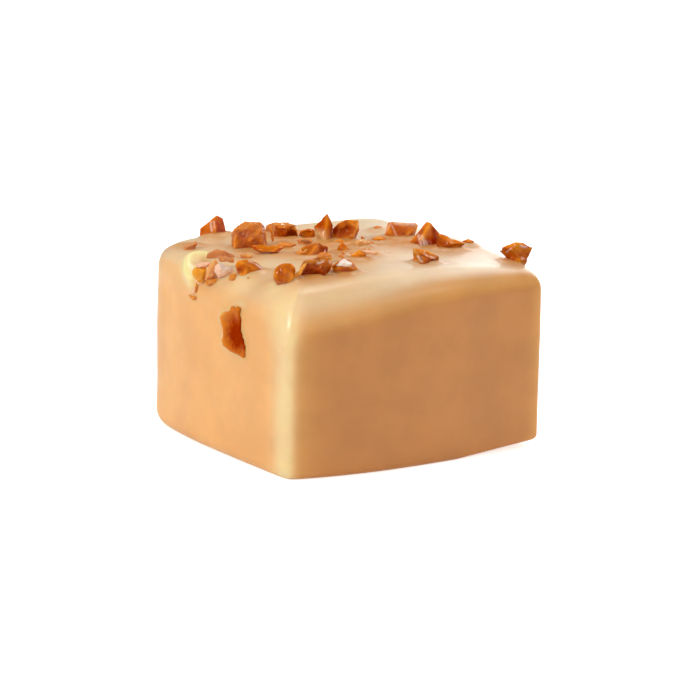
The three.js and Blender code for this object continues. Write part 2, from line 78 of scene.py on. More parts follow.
# Where each bit stands on the top (x, y) or at its rim (x, y, z), its thickness and its outline
# seen from in front as (across, up). Then what only some have:
# free - it lies free on the coating, this far forward, and has no sunk foot
# turn - a turn of its own, in degrees
# front - corners that stand proud of the outline (across, up, depth)
# hollow - the middle and half sizes of a hollow broken out of it (across, out, up), painted darker inwards
# as shade
# soft - how rounded its edges are, in millimetres
# dish - how deep its broken faces are dished
# grain - how crumbly its surface is, in millimetres
# dark - how dark it is at its left and at its right, partly its own colour and partly painted shade
# rim, glaze - how strong the painted highlight along its thin edges is, and how far the coating has run
# over it
# foot, milky - how high its milky foot reaches, and how much milkier it is at the left
# pale - painted highlights as pale streaks, each from (across, up) to (across, up) with its width
# tone - a colour of its own
BITS = {
    "back_left_wedge": dict(
        at=(-5.3, 13.6), thickness=1.5, rim=0.9, dark=(0.0, 0.6), dish=0.03,
        pale=(((-0.35, 1.3), (-0.2, 0.5), 0.1), ((0.0, 1.35), (0.05, 0.8), 0.07)),
        outline=((-1.4, 0), (-1.35, 0.6), (0.25, 1.95), (0.85, 1.65), (1.45, 0.2)),
        front=((0.1, 0.15, 0.9),),
    ),
    "nut_like_lump": dict(
        at=(-5.9, 6.1), thickness=2.7, dark=(0.75, 0.6), soft=0.28, rim=0.9, dish=0.03,
        grain=0.07, glaze=0.1,
        outline=((-1.7, 0), (-1.75, 1.3), (-1.4, 1.95), (-0.5, 2.4), (1.1, 2.5), (1.45, 1.9),
            (1.75, 0.1)),
        front=((-1.45, 0, 1.2), (-1.4, 1.2, 1.15), (-0.95, 1.85, 1.0), (1.15, 1.9, 1.0),
            (1.6, 0.2, 1.2), (0.05, 1.0, 1.5)),
    ),
    "boat": dict(
        at=(-5.84, 2.88, 17.5), free=0.3, thickness=1.3, rim=1.0,
        outline=((-1.61, 0.65), (-1.41, 0.2), (-0.8, -0.05), (0.92, -0.05), (1.62, 0.55),
            (1.0, 0.68), (-0.8, 0.72)),
        hollow=((0.1, -0.3, 0.95), (1.35, 0.6, 0.6)),
    ),
    "glazed_ridge": dict(
        at=(0.2, 9.6), thickness=1.6, dark=(0.4, 0.4), glaze=0.25,
        outline=((-1.9, 0), (-1.8, 0.7), (-1.15, 1.05), (0.3, 1.0), (1.0, 0.8), (1.3, 0)),
    ),
    "dark_hollow": dict(
        at=(-1.2, 7.5), thickness=1.6, dark=(0.1, 0.9), rim=1.0,
        outline=((-1.4, 0), (-0.8, 1.3), (0.95, 1.35), (1.25, 0.9), (1.2, 0)),
        front=((-0.55, 1.1, 0.4), (-1.05, 0, 0.55), (0.3, 1.05, 0.5), (1.05, 0.05, 0.8)),
        hollow=((0.8, -0.75, 0.5), (0.6, 0.75, 0.55)),
    ),
    "tall_peak": dict(
        at=(1.1, 4.0), thickness=1.5, dark=(0.0, 0.7), foot=1.4, milky=3, rim=0.4,
        outline=((-1.0, 1.4), (0.25, 2.7), (0.8, 1.5), (0.8, 0), (-0.7, 0)),
        front=((0.15, 1.5, 0.45), (0.1, 0, 0.85)),
    ),
    "bowl": dict(
        at=(2.9, 3.5), thickness=1.7, dark=(1, 0.6), rim=1.0, dish=0.03,
        outline=((-1.1, 0), (-1.05, 0.95), (-0.45, 1.6), (0.25, 1.95), (1.45, 1.85), (1.55, 1.0),
            (1.0, 0)),
        front=((-0.85, 0, 0.8), (0.9, 0.25, 0.85), (1.3, 1.25, 0.6)),
        hollow=((0.25, -2.0, 1.1), (1.45, 1.65, 1.15)),
    ),
    "broad_low_wedge": dict(
        at=(-3.7, -1.0), thickness=2.2, dark=(1, 0.8), foot=0.1, soft=0.15, dish=0.04,
        outline=((-2.2, 0), (-0.8, 0.8), (0.35, 1.25), (0.75, 1.35), (1.8, 0.85), (1.5, 0.1)),
        front=((-0.6, 0, 1.6), (1.1, 0.1, 1.0), (0.8, 0.95, 0.4)),
    ),
    "small_triangle": dict(
        at=(-0.3, -1.7), thickness=1.0, dark=(0.2, 0.2), rim=0.7,
        outline=((-0.95, 0.1), (-0.55, 0.7), (-0.2, 1.0), (0.25, 0.6), (0.85, 0)),
        front=((-0.1, 0, 0.6),),
    ),
    "pale_lump": dict(
        at=(2.3, -0.6), thickness=1.1, dark=(0, 0), glaze=0.75, rim=1.0, soft=0.1,
        outline=((-0.9, 0.1), (-0.65, 0.6), (0, 0.78), (0.85, 0.5), (0.8, 0.1)),
    ),
    "front_flake": dict(
        at=(-0.9, -5.1), thickness=1.1, turn=-8, dark=(0.1, 0.1), rim=0.8,
        outline=((-0.85, 0), (-0.75, 0.35), (0, 0.85), (0.6, 0.6), (0.95, 0)),
        front=((0.05, 0.55, 0.3), (0.25, 0, 0.6)),
    ),
    "long_wedge": dict(
        at=(7.7, 0.9), thickness=1.8, dark=(0, 0.6), glaze=0.05, rim=1.0, dish=0.03,
        pale=(((-0.5, 1.48), (1.4, 1.36), 0.2), ((-1.6, 0.2), (-0.95, 1.35), 0.07),
            ((-0.9, 1.3), (-0.35, 0.2), 0.05)),
        outline=((-1.8, 0.1), (-1.2, 1.45), (-0.75, 1.5), (1.5, 1.4), (1.65, 1.1), (1.2, 0), (0, 0)),
        front=((-1.05, 1.2, 0.3), (1.15, 0.8, 0.6), (-0.35, 0, 0.9), (-1.15, 0.7, 0.5)),
    ),
    "right_peak": dict(
        at=(7.2, -3.1), thickness=1.8, dark=(0.1, 0.6), foot=0.15, rim=0.9, dish=0.03,
        pale=(((-0.1, 0.95), (0.15, 0.2), 0.12), ((0.25, 0.95), (0.5, 0.2), 0.14),
            ((0.6, 0.6), (0.8, 0.1), 0.07)),
        outline=((-1.5, 0), (0.6, 2.25), (1.0, 2.2), (1.9, 1.15), (1.85, 0.1)),
        front=((0.2, 0.9, 0.85), (0, 0, 1.4), (1.3, 0.2, 0.95), (1.15, 1.5, 0.4)),
    ),
    "pointed_wedge": dict(
        at=(8.8, -5.7), thickness=1.3, dark=(0.15, 0.15), rim=0.8,
        outline=((-1.35, 0), (-1.1, 1.3), (-0.75, 1.45), (0.25, 0.95), (1.5, 0.55), (1.3, 0.3),
            (-0.65, 0)),
        front=((-1.05, 0, 0.6), (0.25, 0.6, 0.6)),
    ),
    "rough_bit": dict(
        at=(3.2, -10.0), thickness=1.4, dark=(0.0, 0.6), rim=1.0,
        pale=(((-0.65, 0.7), (-0.35, 0.35), 0.1), ((-0.1, 1.0), (0.2, 0.8), 0.06),
            ((0.5, 0.75), (0.9, 0.5), 0.05)),
        outline=((-1.1, 0.2), (-1.1, 1.35), (-0.6, 1.3), (0.25, 1.15), (1.3, 0.6), (1.2, 0.2),
            (0.15, 0)),
        front=((-0.4, 1.0, 0.6), (-0.3, 0, 1.5), (0.6, 0.5, 0.65)),
    ),
    "corner_bit": dict(
        at=(12.6, -10.9), thickness=1.4, dark=(0.0, 0.15), rim=0.9, foot=0.15,
        pale=(((0.65, 1.62), (1.15, 1.5), 0.1), ((-0.75, 0.9), (-0.3, 1.4), 0.05)),
        outline=((-1.15, 0.85), (-1.1, 1.4), (0.1, 1.95), (0.9, 1.85), (1.65, 1.4), (1.0, 0),
            (-0.1, 0.2)),
        front=((-0.2, 1.2, 0.5), (0.85, 0.2, 0.6), (0.3, 1.7, 0.4)),
    ),
    "round_flake": dict(
        at=(-10.6, -7.9), thickness=0.9, dark=(0.6, 0.4), foot=0.15, soft=0.2, dish=0.03,
        outline=((-1.25, 0.3), (-1.15, 1.0), (-0.75, 1.45), (-0.2, 1.68), (0.5, 1.6), (0.9, 1.1),
            (0.8, 0.4), (0, 0), (-0.8, 0)),
        front=((-1.15, 0.45, 0.6), (-0.75, 0, 0.95), (-0.1, 0, 1.1), (0.5, 0.3, 0.8),
            (0.55, 1.05, 0.5), (-0.35, 1.35, 0.45), (-0.9, 0.95, 0.5), (-0.25, 0.75, 0.95)),
    ),
    "crested_bit": dict(
        at=(-8.0, -8.2), thickness=1.6, dark=(0.8, 0.4), foot=0.15, rim=1.0,
        pale=(((0.55, 1.4), (1.0, 1.55), 0.08), ((1.55, 1.5), (1.65, 1.3), 0.07)),
        outline=((-1.7, 0), (-0.8, 1.4), (0.1, 1.55), (0.6, 1.8), (1.2, 1.65), (1.7, 1.8),
            (1.8, 1.15), (1.3, 0)),
        front=((-1.45, 0, 0.7), (-0.55, 1.3, 0.55), (1.3, 1.0, 0.7), (1.05, 0, 0.9)),
        hollow=((0.1, -1.75, 0.35), (1.35, 1.35, 0.8)),
    ),
    "glossy_bit": dict(
        at=(-5.2, -9.1), thickness=1.5, dark=(0.55, 0.8), rim=0.9, dish=0.02,
        outline=((-1.1, 0.65), (-0.45, 1.15), (0.05, 1.45), (0.85, 1.05), (1.35, 0.5), (0.95, 0),
            (-0.7, 0)),
        front=((-0.85, 0.35, 0.6), (-0.35, 0.9, 0.72), (0.55, 0.8, 0.72), (0.95, 0.4, 0.6),
            (0, 0, 0.85)),
    ),
    "almond_bit": dict(
        at=(-11.5, -3.2), thickness=1.4, dark=(0.5, 1), foot=0.15, rim=0.5, soft=0.12, dish=0.03,
        pale=(((-0.2, 1.12), (0.35, 0.95), 0.07), ((0.5, 0.85), (1.2, 0.35), 0.09)),
        outline=((-1.5, 0.65), (-1.25, 1.1), (-0.3, 1.25), (0.65, 0.9), (1.4, 0.25), (0.2, 0),
            (-1.1, 0)),
        front=((-0.35, 0.85, 0.55), (1.1, 0.25, 0.4), (-0.65, 0, 0.8)),
    ),
    "amber_flake": dict(
        at=(-13.56, 1.67, 16.19), free=0.45, thickness=0.9, tone="amber", soft=0.1,
        outline=((-0.91, 0.79), (0.19, 0.83), (0.24, 0.66), (0.1, -0.05), (-0.08, -0.66),
            (-0.56, -0.58), (-1.0, -0.05), (-1.13, 0.4)),
    ),
    "rosy_facet": dict(
        at=(-13.56, 1.67, 16.19), free=0.35, thickness=0.8, tone="rosy", soft=0.1,
        outline=((-0.87, 1.09), (-0.25, 1.32), (0.55, 1.27), (0.63, 1.09), (0.28, 0.8),
            (-0.69, 0.76)),
    ),
    "ridge_facet": dict(
        at=(-13.05, 0.75, 16.61), free=0.35, thickness=0.9, tone="tawny", soft=0.08, rim=1.0,
        outline=((0.13, 1.3), (0.4, 1.04), (0.04, 0.38), (0.04, -0.51), (-0.13, -0.77),
            (-0.84, -0.69), (-0.66, 0.11), (-0.49, 0.73)),
    ),
    "milky_facet": dict(
        at=(-12.7, -0.45, 16.78), free=0.4, thickness=1.2, tone="milky", soft=0.1, rim=0.9,
        outline=((-0.46, 0.99), (0.86, 0.46), (0.91, 0.02), (0.42, -0.25), (-0.55, -0.51),
            (-0.91, 0.11), (-0.86, 0.64)),
    ),
    "glazed_mound": dict(
        at=(-10.6, 3.6, 17.1), thickness=1.9, tone="mauve", soft=0.3,
        outline=((-1.5, 0), (-1.3, 0.5), (-0.45, 0.9), (0.4, 0.85), (1.35, 0.3), (1.3, -0.3)),
        front=((-0.45, 0.2, 0.7), (0.75, 0.2, 0.6)),
    ),
    "under_sliver": dict(
        at=(-13.4, 0.3, 15.9), free=0.35, thickness=0.7, tone="ochre", soft=0.06, rim=1.0,
        outline=((-0.85, -0.18), (-0.57, 0.17), (0.32, 0.3), (0.85, 0.08), (0.32, -0.27),
            (-0.57, -0.36)),
    ),
    "small_chip": dict(
        at=(-12.77, -2.17, 16.64), free=0.35, thickness=0.9, tone="ochre", soft=0.12,
        outline=((-0.45, -0.04), (-0.2, 0.36), (0.19, 0.45), (0.6, 0.22), (0.56, -0.3),
            (0.19, -0.52), (-0.3, -0.4)),
    ),
}

# Small glazed chips among the large ones, too low to matter to the solid, and sheets that are painted
# highlights.
LOW_CHIPS = (
    dict(at=(0.8, 6.8), thickness=1.1, dark=(0.25, 0.25), rim=0.9,
        outline=((-0.94, 0.2), (-0.5, 0.6), (0.2, 0.85), (0.75, 0.8), (1.0, 0.45), (0.85, 0.05),
            (-0.1, 0)),
        hollow=((0.1, -0.5, 0.5), (0.6, 0.4, 0.28))),
    dict(at=(-1.1, 4.0), thickness=0.9, dark=(0.1, 0.1), glaze=0.4, rim=0.9,
        outline=((-0.75, 0.4), (-0.2, 0.6), (0.5, 0.55), (0.8, 0.35), (0.4, 0), (-0.5, 0)),
        hollow=((0.05, -0.4, 0.35), (0.45, 0.3, 0.18))),
    dict(at=(-3.3, 3.6), thickness=0.9, dark=(0.1, 0.1), glaze=0.15,
        outline=((-0.85, 0.4), (-0.3, 0.52), (0.85, 0.4), (0.75, 0.05), (0, 0), (-0.55, 0.15))),
    dict(at=(-4.7, -0.6), thickness=1.2, dark=(0.05, 0.05), glaze=0.2,
        outline=((-0.75, 0.05), (0, 0.65), (1.0, 0.85), (1.2, 0.3), (0.5, 0))),
    dict(at=(-8.8, 2.1), thickness=0.9, dark=(0.2, 0.2), glaze=0.45,
        outline=((-0.6, 0.35), (0, 0.5), (0.66, 0.3), (0.5, 0), (-0.3, 0))),
    dict(at=(-4.3, -4.3), thickness=0.9, dark=(0.1, 0.1), glaze=0.25, rim=1.0,
        outline=((-0.85, 0.3), (-0.4, 0.9), (0.1, 1.05), (0.7, 0.85), (0.85, 0.35), (0.3, 0))),
    dict(at=(-3.9, 6.6), free=-0.3, thickness=0.5, tone="ochre", soft=0.06,
        outline=((0.25, 1.75), (0.6, 1.7), (0.82, 0.95), (0.86, 0.2), (0.68, 0.1), (0.55, 0.95))),
    # a painted highlight: a bright sheet along the crest of the crested bit
    dict(at=(-9.03, -7.58, 17.5), free=1.0, thickness=0.35, tone="bright", soft=0.05, rim=1.0,
        outline=((0.5, 1.35), (0.75, 1.3), (0.2, 0.2), (-0.4, -0.15), (-0.68, -0.15), (0.0, 0.65))),
    # a painted highlight: a near-white sheet over the glossy bit's top face
    dict(at=(-5.2, -9.1, 17.6), free=0.45, thickness=1.1, tone="glint_white", soft=0.05,
        outline=((-0.75, 0.72), (-0.35, 1.2), (0.05, 1.45), (0.85, 1.0), (0.65, 0.7), (0, 0.62))),
    dict(at=(-0.9, -5.1), free=0.15, thickness=0.6, tone="rosy", soft=0.06,
        outline=((0.1, 0.85), (0.7, 0.95), (1.9, 0.72), (1.6, 0.4), (0.5, 0.5))),
    dict(at=(-10.7, 9.2), thickness=1.3, dark=(0.3, 0.3), glaze=0.35, soft=0.15,
        outline=((-0.9, 0), (-0.3, 0.35), (0.65, 0.75), (0.85, 0.6), (0.4, 0))),
    dict(at=(-12.7, -0.45, 16.78), free=-0.3, thickness=0.9, tone="mauve", soft=0.1,
        outline=((-0.55, 1.39), (0.1, 1.5), (0.94, 1.23), (0.94, 0.81), (-0.52, 0.9))),
)

# The small ones: x, y, length, thickness, height.
CRUMB_POINTS = 5
CRUMB_SEED = 100
CRUMBS = (
    (-10.0, 10.2, 2.4, 1.2, 0.35),
    (-8.0, 3.4, 1.4, 0.9, 0.25),
    (-3.0, 3.8, 2.1, 0.9, 0.7),
    (1.5, 1.8, 2.2, 0.7, 0.6),
    (4.8, 0.3, 2.1, 0.9, 0.6),
    (1.1, -4.4, 1.4, 0.8, 0.5),
    (7.9, 5.3, 1.5, 1.2, 0.5),
    (11.5, -4.9, 1.7, 0.8, 0.6),
    (-2.2, -4.2, 0.9, 0.8, 0.6),
    (-1.3, -3.0, 0.8, 0.7, 0.5),
)

# The curl of coating that has run round the left cluster.
CURL_RADIUS = 0.42
CURL_WIDTH = CURL_RADIUS * 1.3  # the poured coating fills it out
CURL_PALE = 2.5  # how far its paleness spreads
CURL_PATH = (
    (-11.45, 5.0, 17.1), (-11.95, 5.7, 17.1), (-12.7, 5.77, 16.9),
    (-13.35, 4.9, 16.4), (-13.8, 3.9, 15.95), (-14.0, 2.9, 15.6),
)
CURL_GROOVE = (
    (-12.77, 4.24, 16.84), (-12.04, 4.43, 17.1), (-12.19, 3.09, 17.07), (-12.58, 1.7, 16.9),
)
GROOVE_REACH, GROOVE_DEPTH, GROOVE_TAN = 0.35, 0.25, 0.6  # the groove inside the curl, painted tan as shade

# The flake in the left face: its outline as (y, z) and how far it is proud of the face.
SIDE_FLAKE_OUTLINE = (
    (-4.8, 14.56), (-5.1, 14.36), (-5.46, 14.66), (-5.92, 14.58), (-6.08, 14.08),
    (-6.32, 13.34), (-6.41, 12.51), (-6.73, 12.01), (-7.14, 11.27), (-7.26, 10.44),
    (-6.9, 10.15), (-5.9, 10.3), (-4.6, 10.34), (-3.46, 10.61), (-3.16, 11.06),
    (-3.49, 11.6), (-3.29, 12.43), (-2.96, 12.92), (-2.8, 13.25), (-3.2, 13.72),
    (-3.78, 13.83), (-4.57, 14.08),
)
SIDE_FLAKE_PROUD = 0.3
SIDE_FLAKE_THICK = 1.2

# Thin toffee that has run down the left face, too fine for the solid, and a painted highlight between the
# runs.
RUNS = (
    dict(at=(-14.2, 1.75, 14.5), thickness=0.3, turn=-57, free=0.12, tone="ochre", soft=0.05,
        outline=((-0.08, -0.1), (-0.06, 1.0), (0.08, 1.15), (0.1, -0.1))),
    dict(at=(-14.25, 2.4, 13.95), thickness=0.3, turn=-60, free=0.18, tone="ochre", soft=0.04,
        outline=((-0.75, 0.22), (0.3, 0.14), (0.75, 0.3), (0.8, 0), (0.4, -0.12), (-0.3, 0.02))),
    # a painted highlight: a rosy sheet between the runs
    dict(at=(-14.25, 2.3, 14.6), thickness=0.35, turn=-57, free=0.1, tone="rosy", soft=0.12,
        outline=((-0.45, 0.05), (-0.1, 0.3), (0.3, 0.3), (0.4, -0.1), (0.1, -0.3))),
)

# ---- helpers -----------------------------------------------------------------------------


def clamp(value, low=0.0, high=1.0):
    return min(max(value, low), high)


def between(limits, share):
    return limits[0] + (limits[1] - limits[0]) * share


def fade(away, reach):
    """1 at a place, easing to 0 away from it."""
    return math.exp(-((away / reach) ** 2))


def seeded_random(seed):
    """The same short stream of numbers from 0 to 1 that shapes the solid."""
    state = seed * 7919 + 17

    def draw():
        nonlocal state
        state = (state * 16807) % 2147483647
        return state / 2147483647

    return draw


def piece_from(bm, name, material):
    """Finishes a bmesh made in millimetres as a smooth piece that stands for the solid."""
    bmesh.ops.scale(bm, vec=(MM, MM, MM), verts=bm.verts[:])
    for face in bm.faces:
        face.smooth = True
    mesh = bpy.data.meshes.new(name)
    bm.to_mesh(mesh)
    bm.free()
    mesh.materials.append(material)
    piece = bpy.data.objects.new(name, mesh)
    bpy.context.scene.collection.objects.link(piece)
    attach(piece, "root")
    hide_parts(NODE)
    return piece


# ---- the block's surface -----------------------------------------------------------------


def blend_corners(values, across, away):
    front_left, back_left, front_right, back_right = values
    right = (1 + across) / 2
    back = (1 + away) / 2
    left_side = front_left * (1 - back) + back_left * back
    right_side = front_right * (1 - back) + back_right * back
    return left_side * (1 - right) + right_side * right


def round_edge(reach, rise, wall_reach, face_rise, radius):
    """Bends the meeting of a wall and a flat face into an arc."""
    out_reach = reach - (wall_reach - radius)
    out_rise = rise - (face_rise - radius)
    if out_reach <= 0 or out_rise <= 0:
        return reach, rise
    scale = radius / math.hypot(out_reach, out_rise)
    return wall_reach - radius + out_reach * scale, face_rise - radius + out_rise * scale


def plan_edge(across, away):
    """The edge of the plan in the direction of a point of the unit square's rim."""
    half_width, half_depth = WIDTH / 2, DEPTH / 2
    radius = CORNER_PLAN[(2 if across > 0 else 0) + (1 if away > 0 else 0)]
    flat_x = clamp(across * half_width, radius - half_width, half_width - radius)
    flat_y = clamp(away * half_depth, radius - half_depth, half_depth - radius)
    out = Vector((across * half_width - flat_x, away * half_depth - flat_y))
    out = out.normalized() * radius
    x, y = flat_x + out.x, flat_y + out.y
    s, t = x / half_width, y / half_depth
    to_left, to_front, to_back = clamp(-s), clamp(-t), clamp(t)
    bow_x, bow_y = 1 - t * t, 1 - s * s
    return Vector((
        x - LEFT_BOW * bow_x * to_left + BACK_LEFT_CUT * to_left * to_back**2,
        y - FRONT_BOW * bow_y * (1 - FRONT_BOW_SKEW * s) * to_front + BACK_BOW * bow_y * to_back,
    ))


def block_point(u, v, w):
    """Moves a point of the cube from -1 to 1 to its place on the block."""
    ring = max(abs(u), abs(v))
    across, away = (u / ring, v / ring) if ring > 0 else (0, 1)
    edge = plan_edge(across, away)
    wall = edge.length
    reach = ring * wall
    z = (w + 1) / 2 * HEIGHT
    reach, z = round_edge(reach, z, wall, HEIGHT, blend_corners(CORNER_TOP, across, away))
    depth = HEIGHT - z
    reach, depth = round_edge(reach, depth, wall, HEIGHT, blend_corners(CORNER_BASE, across, away))
    z = HEIGHT - depth
    x, y = edge / wall * reach
    s = clamp(x / (WIDTH / 2), -1, 1)
    t = clamp(y / (DEPTH / 2), -1, 1)
    shares = [a * b for a in (clamp(-s), clamp(s)) for b in (clamp(-t), clamp(t))]
    drop = TOP_FALL_BACK * t - TOP_RISE_RIGHT * s
    drop += sum(corner * share**DROP_POWER for corner, share in zip(CORNER_DROP, shares))
    high = z / HEIGHT
    lift = clamp((shares[2] - BASE_LIFT_START) / (1 - BASE_LIFT_START))
    return Vector((x, y, z - high**DROP_FADE * drop + BASE_LIFT * (1 - high) ** LIFT_FADE * lift))


def crowded(value):
    return math.copysign(1 - (1 - min(abs(value), 1)) ** EDGE_CROWDING, value)


def top_height(x, y):
    """Height of the top under a point, found by drawing the cube point towards it."""
    u, v = x / (WIDTH / 2), y / (DEPTH / 2)
    point = Vector((x, y, HEIGHT))
    for _ in range(8):
        point = block_point(clamp(u, -1, 1), clamp(v, -1, 1), 1)
        u += (x - point.x) / (WIDTH / 2)
        v += (y - point.y) / (DEPTH / 2)
    return point.z


# ---- where the bits stand ----------------------------------------------------------------


def crumb_outline(length, height, draw):
    outline = []
    for i in range(CRUMB_POINTS):
        angle = math.pi * (1 - i / (CRUMB_POINTS - 1))
        reach = 1 - LOOSENESS * draw()
        outline.append((length / 2 * reach * math.cos(angle), height * reach * math.sin(angle)))
    return outline


def all_bits():
    """Every bit of the solid with its seed, the shaped ones first."""
    bits = list(BITS.values())
    for index, (x, y, length, thickness, height) in enumerate(CRUMBS):
        draw = seeded_random(CRUMB_SEED + index)
        outline = crumb_outline(length, height, draw)
        bits.append(dict(at=(x, y), thickness=thickness, outline=outline))
    return list(enumerate(bits, start=1))


def place_of(bit):
    x, y, z = bit["at"] if len(bit["at"]) == 3 else (*bit["at"], top_height(*bit["at"]))
    turn = math.radians(FACING + bit.get("turn", 0))
    place = Matrix.Translation((x, y, z)) @ Matrix.Rotation(turn, 4, "Z")
    return place @ Matrix.Translation((0, -bit.get("free", 0), 0))


def foot_of(bit):
    """Middle and half sizes of a bit's foot, in the bit's own frame."""
    across = [point[0] for point in bit["outline"] if point[1] < FOOT_TOP]
    middle = (max(across) + min(across)) / 2
    return Vector((middle, 0)), (max(across) - min(across)) / 2, bit["thickness"] / 2


# ---- the coating -------------------------------------------------------------------------
GRID_CUTS = 56
TOP_REACH = 0.93  # the part of the top that gets a finer grid
FINE_SPOTS = ((Vector((-13, 2.5, 16)), 5.5), (Vector((-14.3, -4.8, 12.4)), 3.6))
COLLAR_RISE = 0.26  # how far the coating climbs a bit's foot
COLLAR_REACH = 0.3
HALO_REACH = 0.6  # how far the painted shade and reflection of a bit reach round it on the coating
HALO_SHARE = 0.8  # how strong that painted shade is at a bit's foot
HALO_FORWARD = 3.0  # and how much further the painted reflection reaches in front of it
TINT_LOW, TINT_HIGH = 14.5, 17.0  # the painted shade fades out down the sides between these heights
LEFT_SIDE = -WIDTH * 0.45  # what lies beyond this belongs to the left face
FRONT_SIDE = -DEPTH * 0.4
LIP_RISE = 0.16  # the coating's raised lip round the side flake
LIP_REACH = 0.35
LIT_LIP = 0.16  # how wide the lip catches the light at the flake's left
SEAT_DEPTH = 0.6  # how deep the coating lies behind the side flake
CLUSTER_PLACE = Vector((-13.1, 0.6, 16.3))  # the coating sags between the glazed pieces here, and is painted tan as shade there
CLUSTER_REACH, CLUSTER_DEPTH, CLUSTER_TAN = 1.5, 0.35, 0.55
SHADE_SPOTS = (  # painted shade in tan on the coating next to the toffee: middle, reach and strength
    (Vector((11.8, -13.1, 16.9)), 1.0, 0.5),
    (Vector((-9.8, -9.4, 17.2)), 1.5, 0.4),
    (Vector((-8.2, -11.2, 17.3)), 1.5, 0.4),
    (Vector((-7.5, 8.9, 17.2)), 1.6, 0.2),
    (Vector((-7.3, 1.5, 17.4)), 1.3, 0.2),
)
CREAM_LINE_REACH = (2.2, 0.65)  # how far the painted highlight of the near upright edge goes left and right
CREAM_LINE_SPREAD = 1.3  # and how much further where it meets the top
CREAM_LINE_SPREAD_LOW, CREAM_LINE_SPREAD_HEIGHT = 10.5, 5.0
# painted highlight: lighter patches of the top near its front left
HIGHLIGHT_PATCHES = ((Vector((-12.8, -3.9, 16.5)), 1.7), (Vector((-11.9, -8.6, 16.6)), 2.0))
HIGHLIGHT_PATCH_SHARE = 0.75  # how much lighter the coating is in these patches of painted highlight
GOLD_REACH = (2.2, 1.1)  # how far the painted golden light goes in from the front face's left and right ends
WAVES = ((7.0, 0.07), (2.6, 0.02))  # the poured surface's unevenness: length and depth
WAVE_START = 1.5  # it begins at the base and is full at this height
COAT_LAYERS = ("shade_and_reflection", "highlight_line", "gold_ends", "curl")


def distance_to_line(point, start, end):
    along = end - start
    share = clamp((point - start).dot(along) / max(along.length_squared, 1e-9))
    return (point - start - along * share).length


def distance_to_path(point, path):
    return min(distance_to_line(point, a, b) for a, b in zip(path, path[1:]))


def is_inside(point, outline):
    """Whether a closed outline goes round a point: a line to the right crosses it oddly often."""
    crossings = 0
    for a, b in zip(outline, outline[1:]):
        if (a.y > point.y) != (b.y > point.y):
            crossings += point.x < a.x + (b.x - a.x) * (point.y - a.y) / (b.y - a.y)
    return crossings % 2 == 1


def on_top(vert):
    return vert.co.z > 0.999


def poured_grid():
    """The cube's grid before it is bent, finer where the bits stand and round the flake."""
    bm = bmesh.new()
    bmesh.ops.create_cube(bm, size=2)
    bmesh.ops.subdivide_edges(bm, edges=bm.edges[:], cuts=GRID_CUTS, use_grid_fill=True)
    bent = {vert: block_point(*(crowded(value) for value in vert.co)) for vert in bm.verts}
    fine = []
    for edge in bm.edges:
        first, second = edge.verts
        inner = all(on_top(v) and max(abs(v.co.x), abs(v.co.y)) < TOP_REACH for v in edge.verts)
        middle = (bent[first] + bent[second]) / 2
        if inner or any((middle - spot).length < reach for spot, reach in FINE_SPOTS):
            fine.append(edge)
    bmesh.ops.subdivide_edges(bm, edges=fine, cuts=1, use_grid_fill=True)
    return bm


def away_from_foot(across, out, half_length, half_thickness):
    away = Vector((across / half_length, out / half_thickness)).length - 1
    return max(away, 0) * min(half_length, half_thickness)


def rise_at_feet(point, feet):
    """How far the coating climbs at a point of the top, and how strongly the painted shade and reflection
    of the bits darken it there: the painted reflection in front of a bit reaches furthest, and a short bit
    darkens it less."""
    rise, clear = 0.0, 1.0
    for to_bit, middle, half_length, half_thickness in feet:
        across, out = (to_bit @ point).xy - middle
        away = away_from_foot(across, out, half_length, half_thickness)
        rise = max(rise, COLLAR_RISE * fade(away, COLLAR_REACH))
        out = max(out, (out + half_thickness) / HALO_FORWARD - half_thickness)
        away = away_from_foot(across, out, half_length, half_thickness)
        clear *= 1 - HALO_SHARE * math.exp(-away / HALO_REACH) * min(half_length, 1)
    return rise, 1 - clear


def highlight_line(point, corner):
    """The painted highlight of the upright edge between the left and front faces: 1 on the edge, easing to
    0 away from it. The line spreads out where it meets the top."""
    away = point.xy - corner
    risen = clamp((point.z - CREAM_LINE_SPREAD_LOW) / CREAM_LINE_SPREAD_HEIGHT)
    spread = 1 + CREAM_LINE_SPREAD * risen**2
    if away.y > abs(away.x):
        return math.exp(-((away.length / CREAM_LINE_REACH[0] / spread) ** 3))
    return math.exp(-((away.length / CREAM_LINE_REACH[1] / spread) ** 2))


def gold_ends(place, corners):
    """How near a point of the front face is to one of its upright edges, where it is painted golden as
    light.
    """
    if place.y > FRONT_SIDE:
        return 0
    return fade(min((place - corner).length / reach for corner, reach in zip(corners, GOLD_REACH)), 1)


